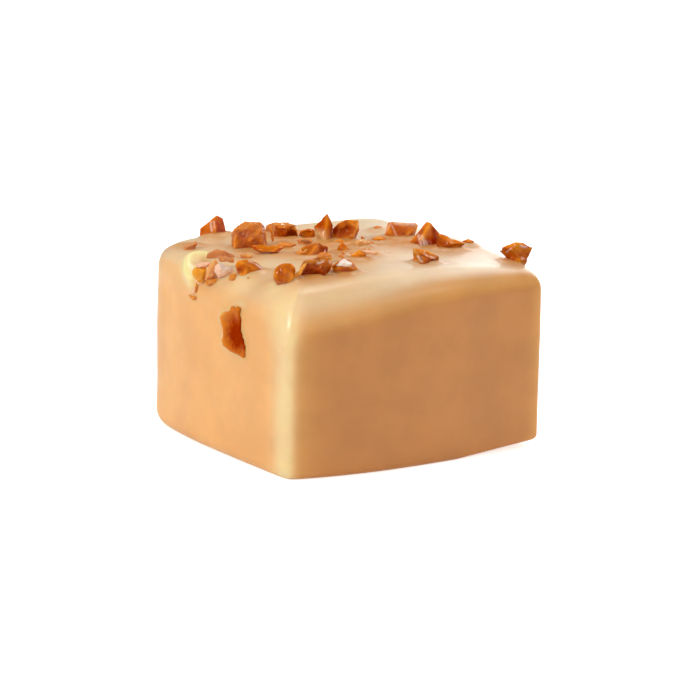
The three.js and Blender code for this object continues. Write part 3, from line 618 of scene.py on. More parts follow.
def make_coating(material):
    bm = poured_grid()
    layers = [bm.verts.layers.float.new(name) for name in COAT_LAYERS]
    feet = [(place_of(bit).inverted(), *foot_of(bit)) for _, bit in all_bits() if len(bit["at"]) == 2]
    curl, curl_groove = ([Vector(point) for point in path] for path in (CURL_PATH, CURL_GROOVE))
    flake = [Vector(point) for point in (*SIDE_FLAKE_OUTLINE, SIDE_FLAKE_OUTLINE[0])]
    corners = plan_edge(-1, -1), plan_edge(1, -1)
    rises = {}
    for vert in bm.verts:
        top = on_top(vert)
        vert.co = block_point(*(crowded(value) for value in vert.co))
        # the tint is painted shade round the bits and a painted reflection in front of them; the groove,
        # the sag and the shade spots add painted shade
        tint = clamp((vert.co.z - TINT_LOW) / (TINT_HIGH - TINT_LOW))
        if tint:
            collar, shade_and_reflection = rise_at_feet(vert.co, feet)
            tint *= shade_and_reflection
            vert.co.z += collar if top else 0
        from_curl = distance_to_path(vert.co, curl)
        groove = fade(distance_to_path(vert.co, curl_groove), GROOVE_REACH)
        sag = fade((vert.co - CLUSTER_PLACE).length, CLUSTER_REACH)
        rise = CURL_WIDTH * fade(from_curl, CURL_WIDTH) - GROOVE_DEPTH * groove - CLUSTER_DEPTH * sag
        # painted highlight: along the near upright edge, in the patches and on the flake's lit lip
        cream = highlight_line(vert.co, corners[0])
        for middle, reach in HIGHLIGHT_PATCHES:
            patch = HIGHLIGHT_PATCH_SHARE * fade((vert.co - middle).length, reach)
            tint *= 1 - patch
            cream = max(cream, patch)
        if vert.co.x < LEFT_SIDE:
            from_flake = distance_to_path(vert.co.yz, flake)
            rise += LIP_RISE * fade(from_flake, LIP_REACH)
            cream = max(cream, fade(from_flake, LIT_LIP) * clamp(vert.co.y - FLAKE_LIT))
            if is_inside(vert.co.yz, flake):
                rise -= SEAT_DEPTH * clamp(from_flake / LIP_REACH)
        tint = max(tint, GROOVE_TAN * groove, CLUSTER_TAN * sag)
        for middle, reach, strength in SHADE_SPOTS:
            tint = max(tint, strength * fade((vert.co - middle).length, reach))
        pale = math.exp(-((from_curl / CURL_WIDTH) ** 2) / CURL_PALE)
        for layer, value in zip(layers, (tint, cream, gold_ends(vert.co.xy, corners), pale)):
            vert[layer] = value
        rises[vert] = rise
    bm.normal_update()
    for vert in bm.verts:
        push = sum(depth * noise.noise(vert.co / length) for length, depth in WAVES)
        vert.co += vert.normal * (rises[vert] + push * clamp(vert.co.z / WAVE_START))
    return piece_from(bm, "coating", material)


# ---- the broken bits ---------------------------------------------------------------------
BIT_EDGE = 0.12  # longest edge of a bit's fine mesh
BIT_BEVEL = 0.03
SURFACE_SEED = 500
NOISE_SPAN = 50  # each bit takes its unevenness from a place of its own in the noise
FAR_OFF = 9  # further than anything on a bit
FRACTURE = ((0.8, 0.04), (0.28, 0.018))  # unevenness of the broken faces: length and depth
GRAIN_SIZE = 0.26  # the crumbly surface of a bit with grain
LARGE_FACE = 0.5  # a larger face of a bit is chipped into smaller ones round a raised point
CHIPPED = (0.04, 0.14)  # the least and the extra height of that point, as a share of its reach
CHIP_ASIDE = 0.4  # how far it may lie from the face's middle towards a corner
WHOLE_DISH, WHOLE_SOFT = 0.04, 0.14  # a bit dished less or rounded more than this isn't chipped
FLAT_ANGLE = math.radians(7)  # faces that meet flatter than this are one broken face
SMALL_FACET = 0.12
DISH = 0.22  # how deep a broken face is dished, as a share of its reach
DISH_LEAST = 0.2
DISH_GRIP = 0.15
HOLLOW_RAGGED, HOLLOW_LUMP = 0.15, 0.5  # how uneven a hollow is, and over what length
HOLLOW_STEEP = 2  # how fast the painted shade in it darkens inwards
SHARP = math.radians(28)
RIM = 0.6  # how strong the painted highlight along the thin edges is, where a bit doesn't say
RIM_REACH = 0.09  # how far in the crisp painted highlight line along a sharp edge reaches
PATCHY, PATCH_SIZE = (0.55, 1.2), 0.8  # the painted highlight lines come and go along an edge
DARK = (0.2, 0.2)  # how dark a bit is at its left and right, where it doesn't say, partly its own colour and partly painted shade
DARK_SWAY = 0.2  # how much the darkness differs from bit to bit
BASE_SHADE, BASE_REACH = 0.35, 0.9  # painted shade: a bit is darker near its foot, up to this height
TOP_GLOW = 0.5  # how bright the light makes the faces that look up
GLOW_FROM, GLOW_STEEP = 0.4, 2  # how far up they have to look
THIN_REACH = 0.4  # how far in the thin toffee along an edge lets the light through
STREAK_GAPS, STREAK_GAP_SIZE = 1.1, 0.25  # a painted highlight streak is broken by gaps of about this size


def bit_shell(bit, seed):
    """The bit's faceted shape in its own frame: its outline, the corners that stand proud of it
    and an uneven face behind, and in front too if it has no such corners. Its foot is sunk in
    the coating, unless it lies free on it."""
    draw = seeded_random(seed)
    outline, thickness = bit["outline"], bit["thickness"]
    middle_x, middle_z = (sum(values) / len(outline) for values in zip(*outline))
    foot_line = -FAR_OFF if "free" in bit else FOOT_LINE
    points = []

    def add(across, out, up):
        points.append((across, out, -FOOT_DEPTH if up < foot_line else up))

    for across, up in outline:
        add(across, thickness * LOOSENESS * (draw() - 0.5), up)
    for side in (1,) if "front" in bit else (1, -1):
        share = FACE_SHARE * (1 - LOOSENESS * draw())
        for across, up in outline:
            out = side * thickness * (1 - LOOSENESS * draw()) / 2
            points.append((middle_x + (across - middle_x) * share, out, middle_z + (up - middle_z) * share))
        if "free" not in bit:
            points.append((middle_x, side * thickness / 2, -FOOT_DEPTH))
    for across, up, depth in bit.get("front", ()):
        add(across, -depth, up)
    bm = bmesh.new()
    for point in points:
        bm.verts.new(point)
    hull = bmesh.ops.convex_hull(bm, input=bm.verts[:])
    drop_spare(bm, hull)
    whole = bit.get("dish", DISH) < WHOLE_DISH or bit.get("soft", 0) > WHOLE_SOFT
    for face in [] if whole else [face for face in bm.faces if face.calc_area() > LARGE_FACE]:
        reach = math.sqrt(face.calc_area() / math.pi)
        corner = face.verts[int(draw() * 3) % 3].co
        raised = face.calc_center_median().lerp(corner, CHIP_ASIDE * draw())
        bm.verts.new(raised + face.normal * reach * (CHIPPED[0] + CHIPPED[1] * draw()))
    drop_spare(bm, bmesh.ops.convex_hull(bm, input=bm.verts[:]))
    return bm


def drop_spare(bm, hull):
    """Deletes what a convex hull left inside it or unused."""
    spare = {*hull["geom_interior"], *hull["geom_unused"]}
    verts = [item for item in spare if isinstance(item, bmesh.types.BMVert)]
    bmesh.ops.delete(bm, geom=verts, context="VERTS")
    faces = [item for item in spare if isinstance(item, bmesh.types.BMFace) and item.is_valid]
    bmesh.ops.delete(bm, geom=faces, context="FACES")


def refine(bm, longest):
    """Splits edges until none is longer than this."""
    for _ in range(7):
        long_edges = [edge for edge in bm.edges if edge.calc_length() > longest]
        if not long_edges:
            break
        bmesh.ops.subdivide_edges(bm, edges=long_edges, cuts=1)
        bmesh.ops.triangulate(bm, faces=bm.faces[:])


def facets_of(bm):
    """Middle, normal and reach of each broken face that is large enough to be dished."""
    return [
        (face.calc_center_median(), face.normal.copy(), math.sqrt(face.calc_area() / math.pi))
        for face in bm.faces if face.calc_area() > SMALL_FACET
    ]


def sharp_edges_of(bm, draw):
    """The ends of each sharp edge, and how bright its painted highlight line is."""
    return [
        (edge.verts[0].co.copy(), edge.verts[1].co.copy(), draw())
        for edge in bm.edges if edge.calc_face_angle(0) > SHARP
    ]


def dish_facets(bm, facets, depth_share, draw):
    """Toffee breaks like glass: each broken face is a shallow shell."""
    for middle, normal, reach in facets:
        depth = reach * depth_share * (DISH_LEAST + draw())
        for vert in bm.verts:
            off = vert.co - middle
            height = off.dot(normal)
            share = (off - normal * height).length / reach
            if share < 1 and abs(height) < DISH_GRIP:
                vert.co -= normal * depth * (1 - share * share) ** 2


BIT_LAYERS = ("rim", "lit_glow", "hollow", "dark", "glaze", "foot")
FOOT_FADE = 0.4  # how high the milky foot of a bit reaches
LOW_SEED = 300  # the low chips and the runs draw from seeds of their own


def bit_layers(bm):
    layers = {name: bm.verts.layers.float.new(name) for name in BIT_LAYERS}
    layers["tone"] = bm.verts.layers.float_color.new("tone")
    return layers


def highlight_streak(bit, place):
    """How strongly the strongest of a bit's painted highlight streaks whitens a point of its front."""
    if place.y >= 0 or "pale" not in bit:
        return 0
    broken = clamp(STREAK_GAPS + noise.noise(place / STREAK_GAP_SIZE))
    nearest = min(
        distance_to_line(place.xz, Vector(start), Vector(end)) / width for start, end, width in bit["pale"]
    )
    return HIGHLIGHT_SHARE * fade(nearest, 1) * broken


def scoop(place, middle, half, shift):
    """Where a point of a bit goes when its hollow is broken out, and how deep in it lies, which darkens it
    as painted shade.
    """
    size = 1 + HOLLOW_RAGGED * noise.noise(place / HOLLOW_LUMP - shift)
    local = Vector([(place[k] - middle[k]) / half[k] / size for k in range(3)])
    if not 0 < local.length < 1:
        return place, 0
    depth = clamp((1 - local.length) * HOLLOW_STEEP)
    local.normalize()
    return Vector([middle[k] + local[k] * half[k] * size for k in range(3)]), depth


def make_bit(bit, seed):
    """A bit with its fine surface, placed on the candy. Returns its bmesh."""
    bm = bit_shell(bit, seed)
    bmesh.ops.recalc_face_normals(bm, faces=bm.faces[:])
    draw = seeded_random(seed + SURFACE_SEED)
    shift = Vector((draw(), draw(), draw())) * NOISE_SPAN
    sway = DARK_SWAY * (draw() - 0.5)
    left, right = (pick(point[0] for point in bit["outline"]) for pick in (min, max))
    bmesh.ops.dissolve_limit(bm, angle_limit=FLAT_ANGLE, verts=bm.verts[:], edges=bm.edges[:])
    facets = facets_of(bm)
    sharp = sharp_edges_of(bm, draw)
    bmesh.ops.bevel(
        bm, geom=bm.edges[:], offset=bit.get("soft", BIT_BEVEL), segments=3, profile=0.5,
        affect="EDGES", material=-1, clamp_overlap=True,
    )
    bmesh.ops.triangulate(bm, faces=bm.faces[:])
    refine(bm, BIT_EDGE)
    layers = bit_layers(bm)
    bm.normal_update()
    for vert in bm.verts:
        near = [(distance_to_line(vert.co, a, b), weight) for a, b, weight in sharp] or [(FAR_OFF, 0)]
        patchy = clamp(PATCHY[0] + PATCHY[1] * noise.noise(vert.co / PATCH_SIZE + shift))
        line = max(math.exp(-away / RIM_REACH) * weight for away, weight in near)
        vert[layers["rim"]] = line * patchy * bit.get("rim", RIM)
        lit = TOP_GLOW * clamp(GLOW_STEEP * (vert.normal.z - GLOW_FROM))
        vert[layers["lit_glow"]] = max(math.exp(-min(near)[0] / THIN_REACH) * patchy, lit)
        foot = clamp(1 - vert.co.z / bit.get("foot", FOOT_FADE))
        vert[layers["foot"]] = foot
        share = clamp((vert.co.x - left) / (right - left))
        # the bit's own darkness with painted shade towards one side
        dark = between(bit.get("dark", DARK), share) + sway
        if "free" not in bit:
            dark += BASE_SHADE * clamp(1 - vert.co.z / BASE_REACH)
        vert[layers["dark"]] = clamp(dark)
        vert[layers["glaze"]] = clamp(bit.get("glaze", 0) + bit.get("milky", 0) * foot * (1 - share))
        tone = TONES.get(bit.get("tone"), (0, 0, 0, 0))
        streak = highlight_streak(bit, vert.co)
        vert[layers["tone"]] = (*PALE[:3], streak) if streak > tone[3] else tone
        push = sum(depth * noise.noise(vert.co / size + shift) for size, depth in FRACTURE)
        push += bit.get("grain", 0) * noise.noise(vert.co / GRAIN_SIZE - shift)
        vert.co += vert.normal * push
        if "hollow" in bit:
            vert.co, vert[layers["hollow"]] = scoop(vert.co, *bit["hollow"], shift)
    dish_facets(bm, facets, bit.get("dish", DISH), draw)
    bm.transform(place_of(bit))
    return bm


def join_into(target, source):
    """Adds one bmesh to another by way of a mesh, so that their layers stay together."""
    mesh = bpy.data.meshes.new("part")
    source.to_mesh(mesh)
    source.free()
    target.from_mesh(mesh)
    bpy.data.meshes.remove(mesh)


def make_bits(material):
    bm = bmesh.new()
    for seed, bit in all_bits() + list(enumerate((*RUNS, *LOW_CHIPS), start=LOW_SEED)):
        join_into(bm, make_bit(bit, seed))
    return piece_from(bm, "toffee_bits", material)


# ---- the finest crumbs -------------------------------------------------------------------
FINE_CRUMBS = 46
FINE_SEED = 900
FINE_SIZE = (0.08, 0.2)
FINE_FRONT = -11.5  # none lie in front of this, where the top turns down
FINE_SPREAD = (0.88, 2.2)  # how far they lie from the bit they broke off
FINE_LUMPY, FINE_FLAT, FINE_RAISED = 0.5, 0.7, 0.3  # their shape, as shares of their radius
FINE_THIN = 0.5  # how much light they let through


def make_fine_crumbs(material):
    draw = seeded_random(FINE_SEED)
    bits = [bit for bit in BITS.values() if len(bit["at"]) == 2]
    bm = bmesh.new()
    for index in range(FINE_CRUMBS):
        bit = bits[int(draw() * len(bits)) % len(bits)]
        turn, away = 2 * math.pi * draw(), between(FINE_SPREAD, draw())
        x, y = bit["at"][0] + away * math.cos(turn), bit["at"][1] + away * math.sin(turn)
        radius = between(FINE_SIZE, draw())
        if y < FINE_FRONT:
            continue
        crumb = bmesh.new()
        bmesh.ops.create_icosphere(crumb, subdivisions=2, radius=radius)
        layers = bit_layers(crumb)
        for vert in crumb.verts:
            vert.co *= 1 + FINE_LUMPY * noise.noise(vert.co / radius + Vector((index, 0, 0)))
            vert.co.z *= FINE_FLAT
            vert[layers["tone"]] = (0, 0, 0, 0)
            vert[layers["lit_glow"]] = FINE_THIN
        crumb.transform(Matrix.Translation((x, y, top_height(x, y) + FINE_RAISED * radius)))
        join_into(bm, crumb)
    return piece_from(bm, "fine_crumbs", material)


# ---- the flake in the left face ----------------------------------------------------------
FLAKE_ROUNDS = 1  # how often each side of its outline is split
FLAKE_RAGGED, FLAKE_BENDS = 0.08, 3.1  # how uneven its outline is, and its bends per millimetre
FLAKE_DISH = 0.2  # how deep it is dished
FLAKE_RIM = 1.1  # how far in from the edge the dish begins
FLAKE_DARKEST = Vector((-5.6, 12.2))
FLAKE_SHADE = (3.5, 1.8, 2.0)  # how far the dark reaches to its right, to its left and up
FLAKE_LIT = -3.9  # its left edge, up to here, catches the light
FLAKE_GLINT = 2  # how brightly
FLAKE_WORN = (0.12, 0.06)  # how far its edge is worn back, and how far in from the outline
FLAKE_TONE = (0.9, 1.3)  # how amber it is, and how much of that the dark takes
FLAKE_HOLLOW = 0.9  # the dark counts as a hollow up to this


def left_face_x(y):
    return plan_edge(-1, clamp(y / (DEPTH / 2), -1, 1)).x


def make_side_flake(material):
    """A dished flake: its ragged outline drawn out along X, then the face that shows hollowed."""
    bm = bmesh.new()
    corners = [bm.verts.new((0, y, z)) for y, z in SIDE_FLAKE_OUTLINE]
    bm.faces.new(corners)
    for _ in range(FLAKE_ROUNDS):
        bmesh.ops.subdivide_edges(bm, edges=bm.edges[:], cuts=1)
    for vert in bm.verts:
        vert.co += Vector((0, *noise.noise_vector(vert.co * FLAKE_BENDS).yz)) * FLAKE_RAGGED
    outline = [loop.vert.co.yz.copy() for loop in bm.faces[:][0].loops]
    outline.append(outline[0])
    deeper = bmesh.ops.extrude_face_region(bm, geom=bm.faces[:])
    behind = [item for item in deeper["geom"] if isinstance(item, bmesh.types.BMVert)]
    bmesh.ops.translate(bm, verts=behind, vec=(SIDE_FLAKE_THICK, 0, 0))
    bmesh.ops.recalc_face_normals(bm, faces=bm.faces[:])
    bmesh.ops.triangulate(bm, faces=bm.faces[:])
    refine(bm, BIT_EDGE)
    layers = bit_layers(bm)
    for vert in bm.verts:
        showing = vert.co.x < SIDE_FLAKE_THICK / 4
        place = vert.co.yz
        inward = distance_to_path(place, outline)
        vert.co.x += left_face_x(place.x) - SIDE_FLAKE_PROUD
        off = place - FLAKE_DARKEST
        sideways = off.x / FLAKE_SHADE[0 if off.x < 0 else 1]
        shade = math.exp(-(sideways**2) - (off.y / FLAKE_SHADE[2]) ** 2)
        vert[layers["dark"]] = shade
        vert[layers["tone"]] = (*FLAKE_AMBER[:3], clamp(FLAKE_TONE[0] - FLAKE_TONE[1] * shade))
        lit = clamp(place.x - FLAKE_LIT)
        vert[layers["rim"]] = FLAKE_GLINT * math.exp(-inward / LIT_LIP) * lit
        if showing:
            dish = clamp(inward / FLAKE_RIM)
            worn = FLAKE_WORN[0] * math.exp(-inward / FLAKE_WORN[1])
            vert.co.x += FLAKE_DISH * dish * dish * (3 - 2 * dish) + worn
            vert[layers["hollow"]] = min(shade, FLAKE_HOLLOW)
    return piece_from(bm, "side_flake", material)


# ---- materials ---------------------------------------------------------------------------


class Nodes:
    """A node tree that is built in reading order."""

    def __init__(self, tree):
        self.tree = tree

    def add(self, kind, links=None, **settings):
        node = self.tree.nodes.new(kind)
        for name, value in settings.items():
            if name in node.inputs:
                node.inputs[name].default_value = value
            elif hasattr(node, name):
                setattr(node, name, value)
        for socket, source in (links or {}).items():
            self.tree.links.new(source, node.inputs[socket])
        return node

    def feed(self, socket, value):
        """Gives a socket a value, or links it if the value is a socket itself."""
        if isinstance(value, bpy.types.NodeSocket):
            self.tree.links.new(value, socket)
        else:
            socket.default_value = value

    def mix(self, factor, first, second, blend="MIX"):
        """Mixes two colours, each a colour or a socket, and returns the result socket."""
        node = self.add("ShaderNodeMix", data_type="RGBA", blend_type=blend)
        for index, value in ((0, factor), (6, first), (7, second)):
            self.feed(node.inputs[index], value)
        return node.outputs[2]

    def math(self, operation, first, second=0.0, clamped=False):
        node = self.add("ShaderNodeMath", operation=operation, use_clamp=clamped)
        for socket, value in zip(node.inputs, (first, second)):
            self.feed(socket, value)
        return node.outputs[0]

    def ramp(self, value, low, high):
        """0 at low, 1 at high, eased between them."""
        node = self.add("ShaderNodeMapRange", {"Value": value}, interpolation_type="SMOOTHSTEP")
        self.set(node, {"From Min": low, "From Max": high})
        return node.outputs["Result"]

    def spread(self, value, low, high):
        """Low where the value is 0 and high where it is 1."""
        node = self.add("ShaderNodeMapRange", {"Value": value})
        self.set(node, {"To Min": low, "To Max": high})
        return node.outputs["Result"]

    def set(self, node, values):
        """Sets or links a node's inputs by name."""
        for name, value in values.items():
            self.feed(node.inputs[name], value)

    def attribute(self, name):
        return self.add("ShaderNodeAttribute", attribute_name=name).outputs["Fac"]


def colour(red, green, blue):
    """A linear colour from the 0 to 255 values of a picture."""
    def linear(value):
        value /= 255
        return value / 12.92 if value <= 0.04045 else ((value + 0.055) / 1.055) ** 2.4

    return (linear(red), linear(green), linear(blue), 1.0)


def new_group(name, inputs, outputs):
    """An empty shader group with its sockets, and the nodes that stand for them."""
    tree = bpy.data.node_groups.new(name, "ShaderNodeTree")
    for socket, (kind, default) in inputs.items():
        item = tree.interface.new_socket(socket, in_out="INPUT", socket_type=kind)
        item.default_value = default
    for socket, kind in outputs.items():
        tree.interface.new_socket(socket, in_out="OUTPUT", socket_type=kind)
    nodes = Nodes(tree)
    return nodes, nodes.add("NodeGroupInput").outputs, nodes.add("NodeGroupOutput")


CLOUD_CUT = (0.15, 0.35)  # where the clouds are cut off: without contrast, and more for it


def make_cloudiness():
    """Soft cloudy patches: a mask from 0 to 1 that wanders over a set size in millimetres."""
    nodes, given, out = new_group(
        "Soft clouds",
        {"Size": ("NodeSocketFloat", 4.0), "Contrast": ("NodeSocketFloat", 0.5)},
        {"Mask": "NodeSocketFloat"},
    )
    place = nodes.add("ShaderNodeTexCoord").outputs["Object"]
    scale = nodes.math("DIVIDE", 1 / MM, given["Size"])
    clouds = nodes.add("ShaderNodeTexNoise", {"Vector": place, "Scale": scale}, Detail=3.0, Roughness=0.55)
    low = nodes.math("ADD", nodes.math("MULTIPLY", given["Contrast"], CLOUD_CUT[1]), CLOUD_CUT[0])
    high = nodes.math("SUBTRACT", 1.0, low)
    nodes.set(out, {"Mask": nodes.ramp(clouds.outputs["Fac"], low, high)})
    return nodes.tree


def make_ripple():
    """Fine unevenness as a height: long waves with small pits on them."""
    nodes, given, out = new_group(
        "Fine ripple",
        {"Wave size": ("NodeSocketFloat", 1.5), "Pit size": ("NodeSocketFloat", 0.25),
         "Pit share": ("NodeSocketFloat", 0.3)},
        {"Height": "NodeSocketFloat"},
    )
    place = nodes.add("ShaderNodeTexCoord").outputs["Object"]
    heights = []
    for size, detail in (("Wave size", 2.0), ("Pit size", 4.0)):
        scale = nodes.math("DIVIDE", 1 / MM, given[size])
        heights.append(nodes.add("ShaderNodeTexNoise", {"Vector": place, "Scale": scale}, Detail=detail))
    pits = nodes.math("MULTIPLY", heights[1].outputs["Fac"], given["Pit share"])
    height = nodes.math("ADD", heights[0].outputs["Fac"], pits)
    nodes.set(out, {"Height": height})
    return nodes.tree


CLOUDS = make_cloudiness()
RIPPLE = make_ripple()


def new_material(name):
    material = bpy.data.materials.new(name)
    material.use_nodes = True
    nodes = Nodes(material.node_tree)
    return material, nodes, material.node_tree.nodes["Principled BSDF"]


def clouds(nodes, size, contrast):
    group = nodes.add("ShaderNodeGroup", node_tree=CLOUDS)
    nodes.set(group, {"Size": size, "Contrast": contrast})
    return group.outputs["Mask"]


def ripple_normal(nodes, wave, pit, pit_share, depth):
    group = nodes.add("ShaderNodeGroup", node_tree=RIPPLE)
    nodes.set(group, {"Wave size": wave, "Pit size": pit, "Pit share": pit_share})
    bump = nodes.add("ShaderNodeBump", {"Height": group.outputs["Height"]})
    nodes.set(bump, {"Distance": depth * MM, "Strength": 1.0})
    return bump.outputs["Normal"]


# Painted light and shade: one coating painted cream where it looks up, peach on the lit left face and
# caramel on the shaded front.
CREAM = colour(238, 207, 161)
# painted sheen towards the back right of the top
SHEEN_CREAM = colour(242, 224, 196)
LIT_PEACH = colour(247, 185, 113)
SHADED_CARAMEL = colour(212, 143, 75)
GOLD = colour(228, 166, 88)  # painted light where the top turns over into the sides and at the front's upright edges
# painted highlight along the near upright edge
EDGE_HIGHLIGHT = colour(252, 220, 164)
CURL_CREAM = colour(255, 236, 168)
# painted shade and painted reflection of the toffee on the coating round it
TAN = colour(206, 127, 22)
BLOTCHES = ((0.94, 0.93, 0.92, 1), (1.04, 1.04, 1.03, 1))  # the coating is this uneven in colour

# Where one colour of the coating eases into another.
TO_FRONT = (0.2, 0.9)  # how far a face has to look forward to take the caramel of the painted shade
TO_GOLD = (0.02, 0.4)  # how far it has to look up to take the painted golden light
TO_CREAM = (0.35, 0.8)  # how far it has to look up to take the cream of the painted top light, and less so at the right
RIGHT_LEVEL = 0.2
UPPER, UPPER_SHARE = (13.0, 17.5), 0.6  # the upper left face is partly painted cream as light between these heights
RIGHTWARD, RIGHTWARD_SLANT = (-3.0, 15.0), 0.5  # the cream is palest towards the back right, a painted sheen
COAT_ROUGH = (0.30, 0.42)


def coating_material():
    """Painted light and shade on one coating: blond cream on top and lit peach on the left face, deeper
    caramel down the front where it is in shade, with painted highlights and a painted sheen.
    """
    material, nodes, shader = new_material("poured_coating")
    position = nodes.add("ShaderNodeTexCoord")
    facing = nodes.add("ShaderNodeSeparateXYZ", {"Vector": position.outputs["Normal"]})
    place = nodes.add("ShaderNodeSeparateXYZ", {"Vector": position.outputs["Object"]})
    forward = nodes.ramp(nodes.math("MULTIPLY", facing.outputs["Y"], -1.0), *TO_FRONT)
    side = nodes.mix(forward, LIT_PEACH, SHADED_CARAMEL)
    turned = nodes.math("MULTIPLY", nodes.ramp(facing.outputs["Z"], *TO_GOLD), forward)
    golden = nodes.math("MAXIMUM", turned, nodes.attribute("gold_ends"))
    base = nodes.mix(golden, side, GOLD)
    slant = nodes.math("MULTIPLY", place.outputs["Y"], RIGHTWARD_SLANT)
    rightward = nodes.math("SUBTRACT", place.outputs["X"], slant)
    rightward = nodes.ramp(rightward, *(value * MM for value in RIGHTWARD))
    upper = nodes.ramp(place.outputs["Z"], *(value * MM for value in UPPER))
    upper = nodes.math("MULTIPLY", upper, UPPER_SHARE)
    upper = nodes.math("MULTIPLY", upper, nodes.math("SUBTRACT", 1.0, forward))
    level = nodes.math("SUBTRACT", facing.outputs["Z"], nodes.math("MULTIPLY", rightward, RIGHT_LEVEL))
    creamy = nodes.math("MAXIMUM", nodes.ramp(level, *TO_CREAM), upper)
    base = nodes.mix(creamy, base, nodes.mix(rightward, CREAM, SHEEN_CREAM))
    blotchy = nodes.ramp(clouds(nodes, 2.4, 0.2), -1.0, 0.5)
    edge = nodes.math("MULTIPLY", nodes.attribute("highlight_line"), blotchy)
    base = nodes.mix(edge, base, EDGE_HIGHLIGHT)
    base = nodes.mix(nodes.attribute("curl"), base, CURL_CREAM)
    patchy = nodes.mix(clouds(nodes, 5.0, 0.5), *BLOTCHES)
    base = nodes.mix(1.0, base, patchy, "MULTIPLY")
    base = nodes.mix(nodes.attribute("shade_and_reflection"), base, TAN)
    nodes.set(shader, {
        "Base Color": base,
        "Roughness": nodes.spread(clouds(nodes, 2.2, 0.3), *COAT_ROUGH),
        "Normal": ripple_normal(nodes, 3.5, 0.5, 0.08, 0.05),
        "Subsurface Weight": 0.6,
        "Subsurface Radius": (1.0, 0.5, 0.22),
        "Subsurface Scale": 1.3 * MM,
        "Coat Weight": 0.15,
        "Coat Roughness": 0.3,
    })
    return material


TOFFEE = colour(222, 104, 6)
# the toffee's own deeper colour, also used for painted shade in hollows, near the feet and on a bit's
# darker side
TOFFEE_DARK = colour(152, 42, 0)
# painted light: the toffee lit through its thin edges and on faces that look up
TOFFEE_THIN = colour(250, 150, 16)
# painted highlight along the sharp edges of the toffee
TOFFEE_RIM = colour(255, 204, 110)
GLAZE = colour(232, 180, 120)
# painted highlight: the white of the streaks
PALE = colour(255, 232, 214)
HIGHLIGHT_SHARE = 0.65  # how strong a painted highlight streak is along its middle
FLAKE_AMBER = colour(226, 138, 28)
CLOUDY_DARK = 0.35  # how much the dark clouds in a bit add
MILKY_FOOT = 0.25  # how much of a foot the coating veils
OPEN_GLOSS = 0.8  # how glossy a bit is outside its hollows
TOFFEE_ROUGH = (0.12, 0.28)
TONES = {  # red, green and blue, and how strong the tone is
    "amber": (242, 166, 44, 0.9),
    "rosy": (248, 198, 166, 0.9),
    "tawny": (238, 172, 108, 0.85),
    "milky": (248, 206, 182, 0.95),
    "mauve": (206, 132, 80, 0.85),
    # painted highlight on a crest
    "bright": (255, 176, 70, 0.9),
    # painted highlight, as a near-white sheet
    "glint_white": (255, 250, 244, 0.85),
    "ochre": (214, 132, 50, 0.75),
}
TONES = {name: (*colour(*tone[:3])[:3], tone[3]) for name, tone in TONES.items()}


def toffee_material():
    """Amber toffee: painted light at its thin edges with painted highlights along them, red-brown in its
    hollows as painted shade, milky at its foot.
    """
    material, nodes, shader = new_material("broken_toffee")
    depth = nodes.math("MAXIMUM", nodes.attribute("dark"), nodes.attribute("hollow"))
    cloudy = nodes.math("MULTIPLY", clouds(nodes, 0.5, 0.7), CLOUDY_DARK)
    depth = nodes.math("ADD", depth, cloudy, clamped=True)
    base = nodes.mix(depth, TOFFEE, TOFFEE_DARK)
    base = nodes.mix(nodes.attribute("lit_glow"), base, TOFFEE_THIN)
    tone = nodes.add("ShaderNodeAttribute", attribute_name="tone")
    base = nodes.mix(tone.outputs["Alpha"], base, tone.outputs["Color"])
    rim = nodes.math("MULTIPLY", nodes.attribute("rim"), clouds(nodes, 0.7, 0.6))
    base = nodes.mix(rim, base, TOFFEE_RIM)
    foot = nodes.math("MULTIPLY", nodes.attribute("foot"), clouds(nodes, 1.1, 0.8))
    foot = nodes.math("MULTIPLY", foot, MILKY_FOOT)
    film = nodes.math("MAXIMUM", foot, nodes.attribute("glaze"))
    nodes.set(shader, {
        "Base Color": nodes.mix(film, base, GLAZE),
        "Roughness": nodes.spread(clouds(nodes, 0.5, 0.4), *TOFFEE_ROUGH),
        "Normal": ripple_normal(nodes, 0.5, 0.12, 0.35, 0.05),
        "Subsurface Weight": 0.3,
        "Subsurface Radius": (1.0, 0.4, 0.1),
        "Subsurface Scale": 0.35 * MM,
        "Specular IOR Level": 0,
        "Coat Weight": nodes.math("SUBTRACT", OPEN_GLOSS, nodes.attribute("hollow"), clamped=True),
        "Coat IOR": 1.34,
        "Coat Roughness": 0.05,
    })
    return material


# ---- the stage ---------------------------------------------------------------------------
MIDDLE = Vector((0, 0, 9.0))  # what the lamps and the camera look at
FLOOR_SIZE = 3000.0
FLOOR_GLOW = 0.12  # the floor lights the candy a little from below, as a light table does
FLOOR_SHOWN_GLOW = 0.55  # and looks this much brighter itself


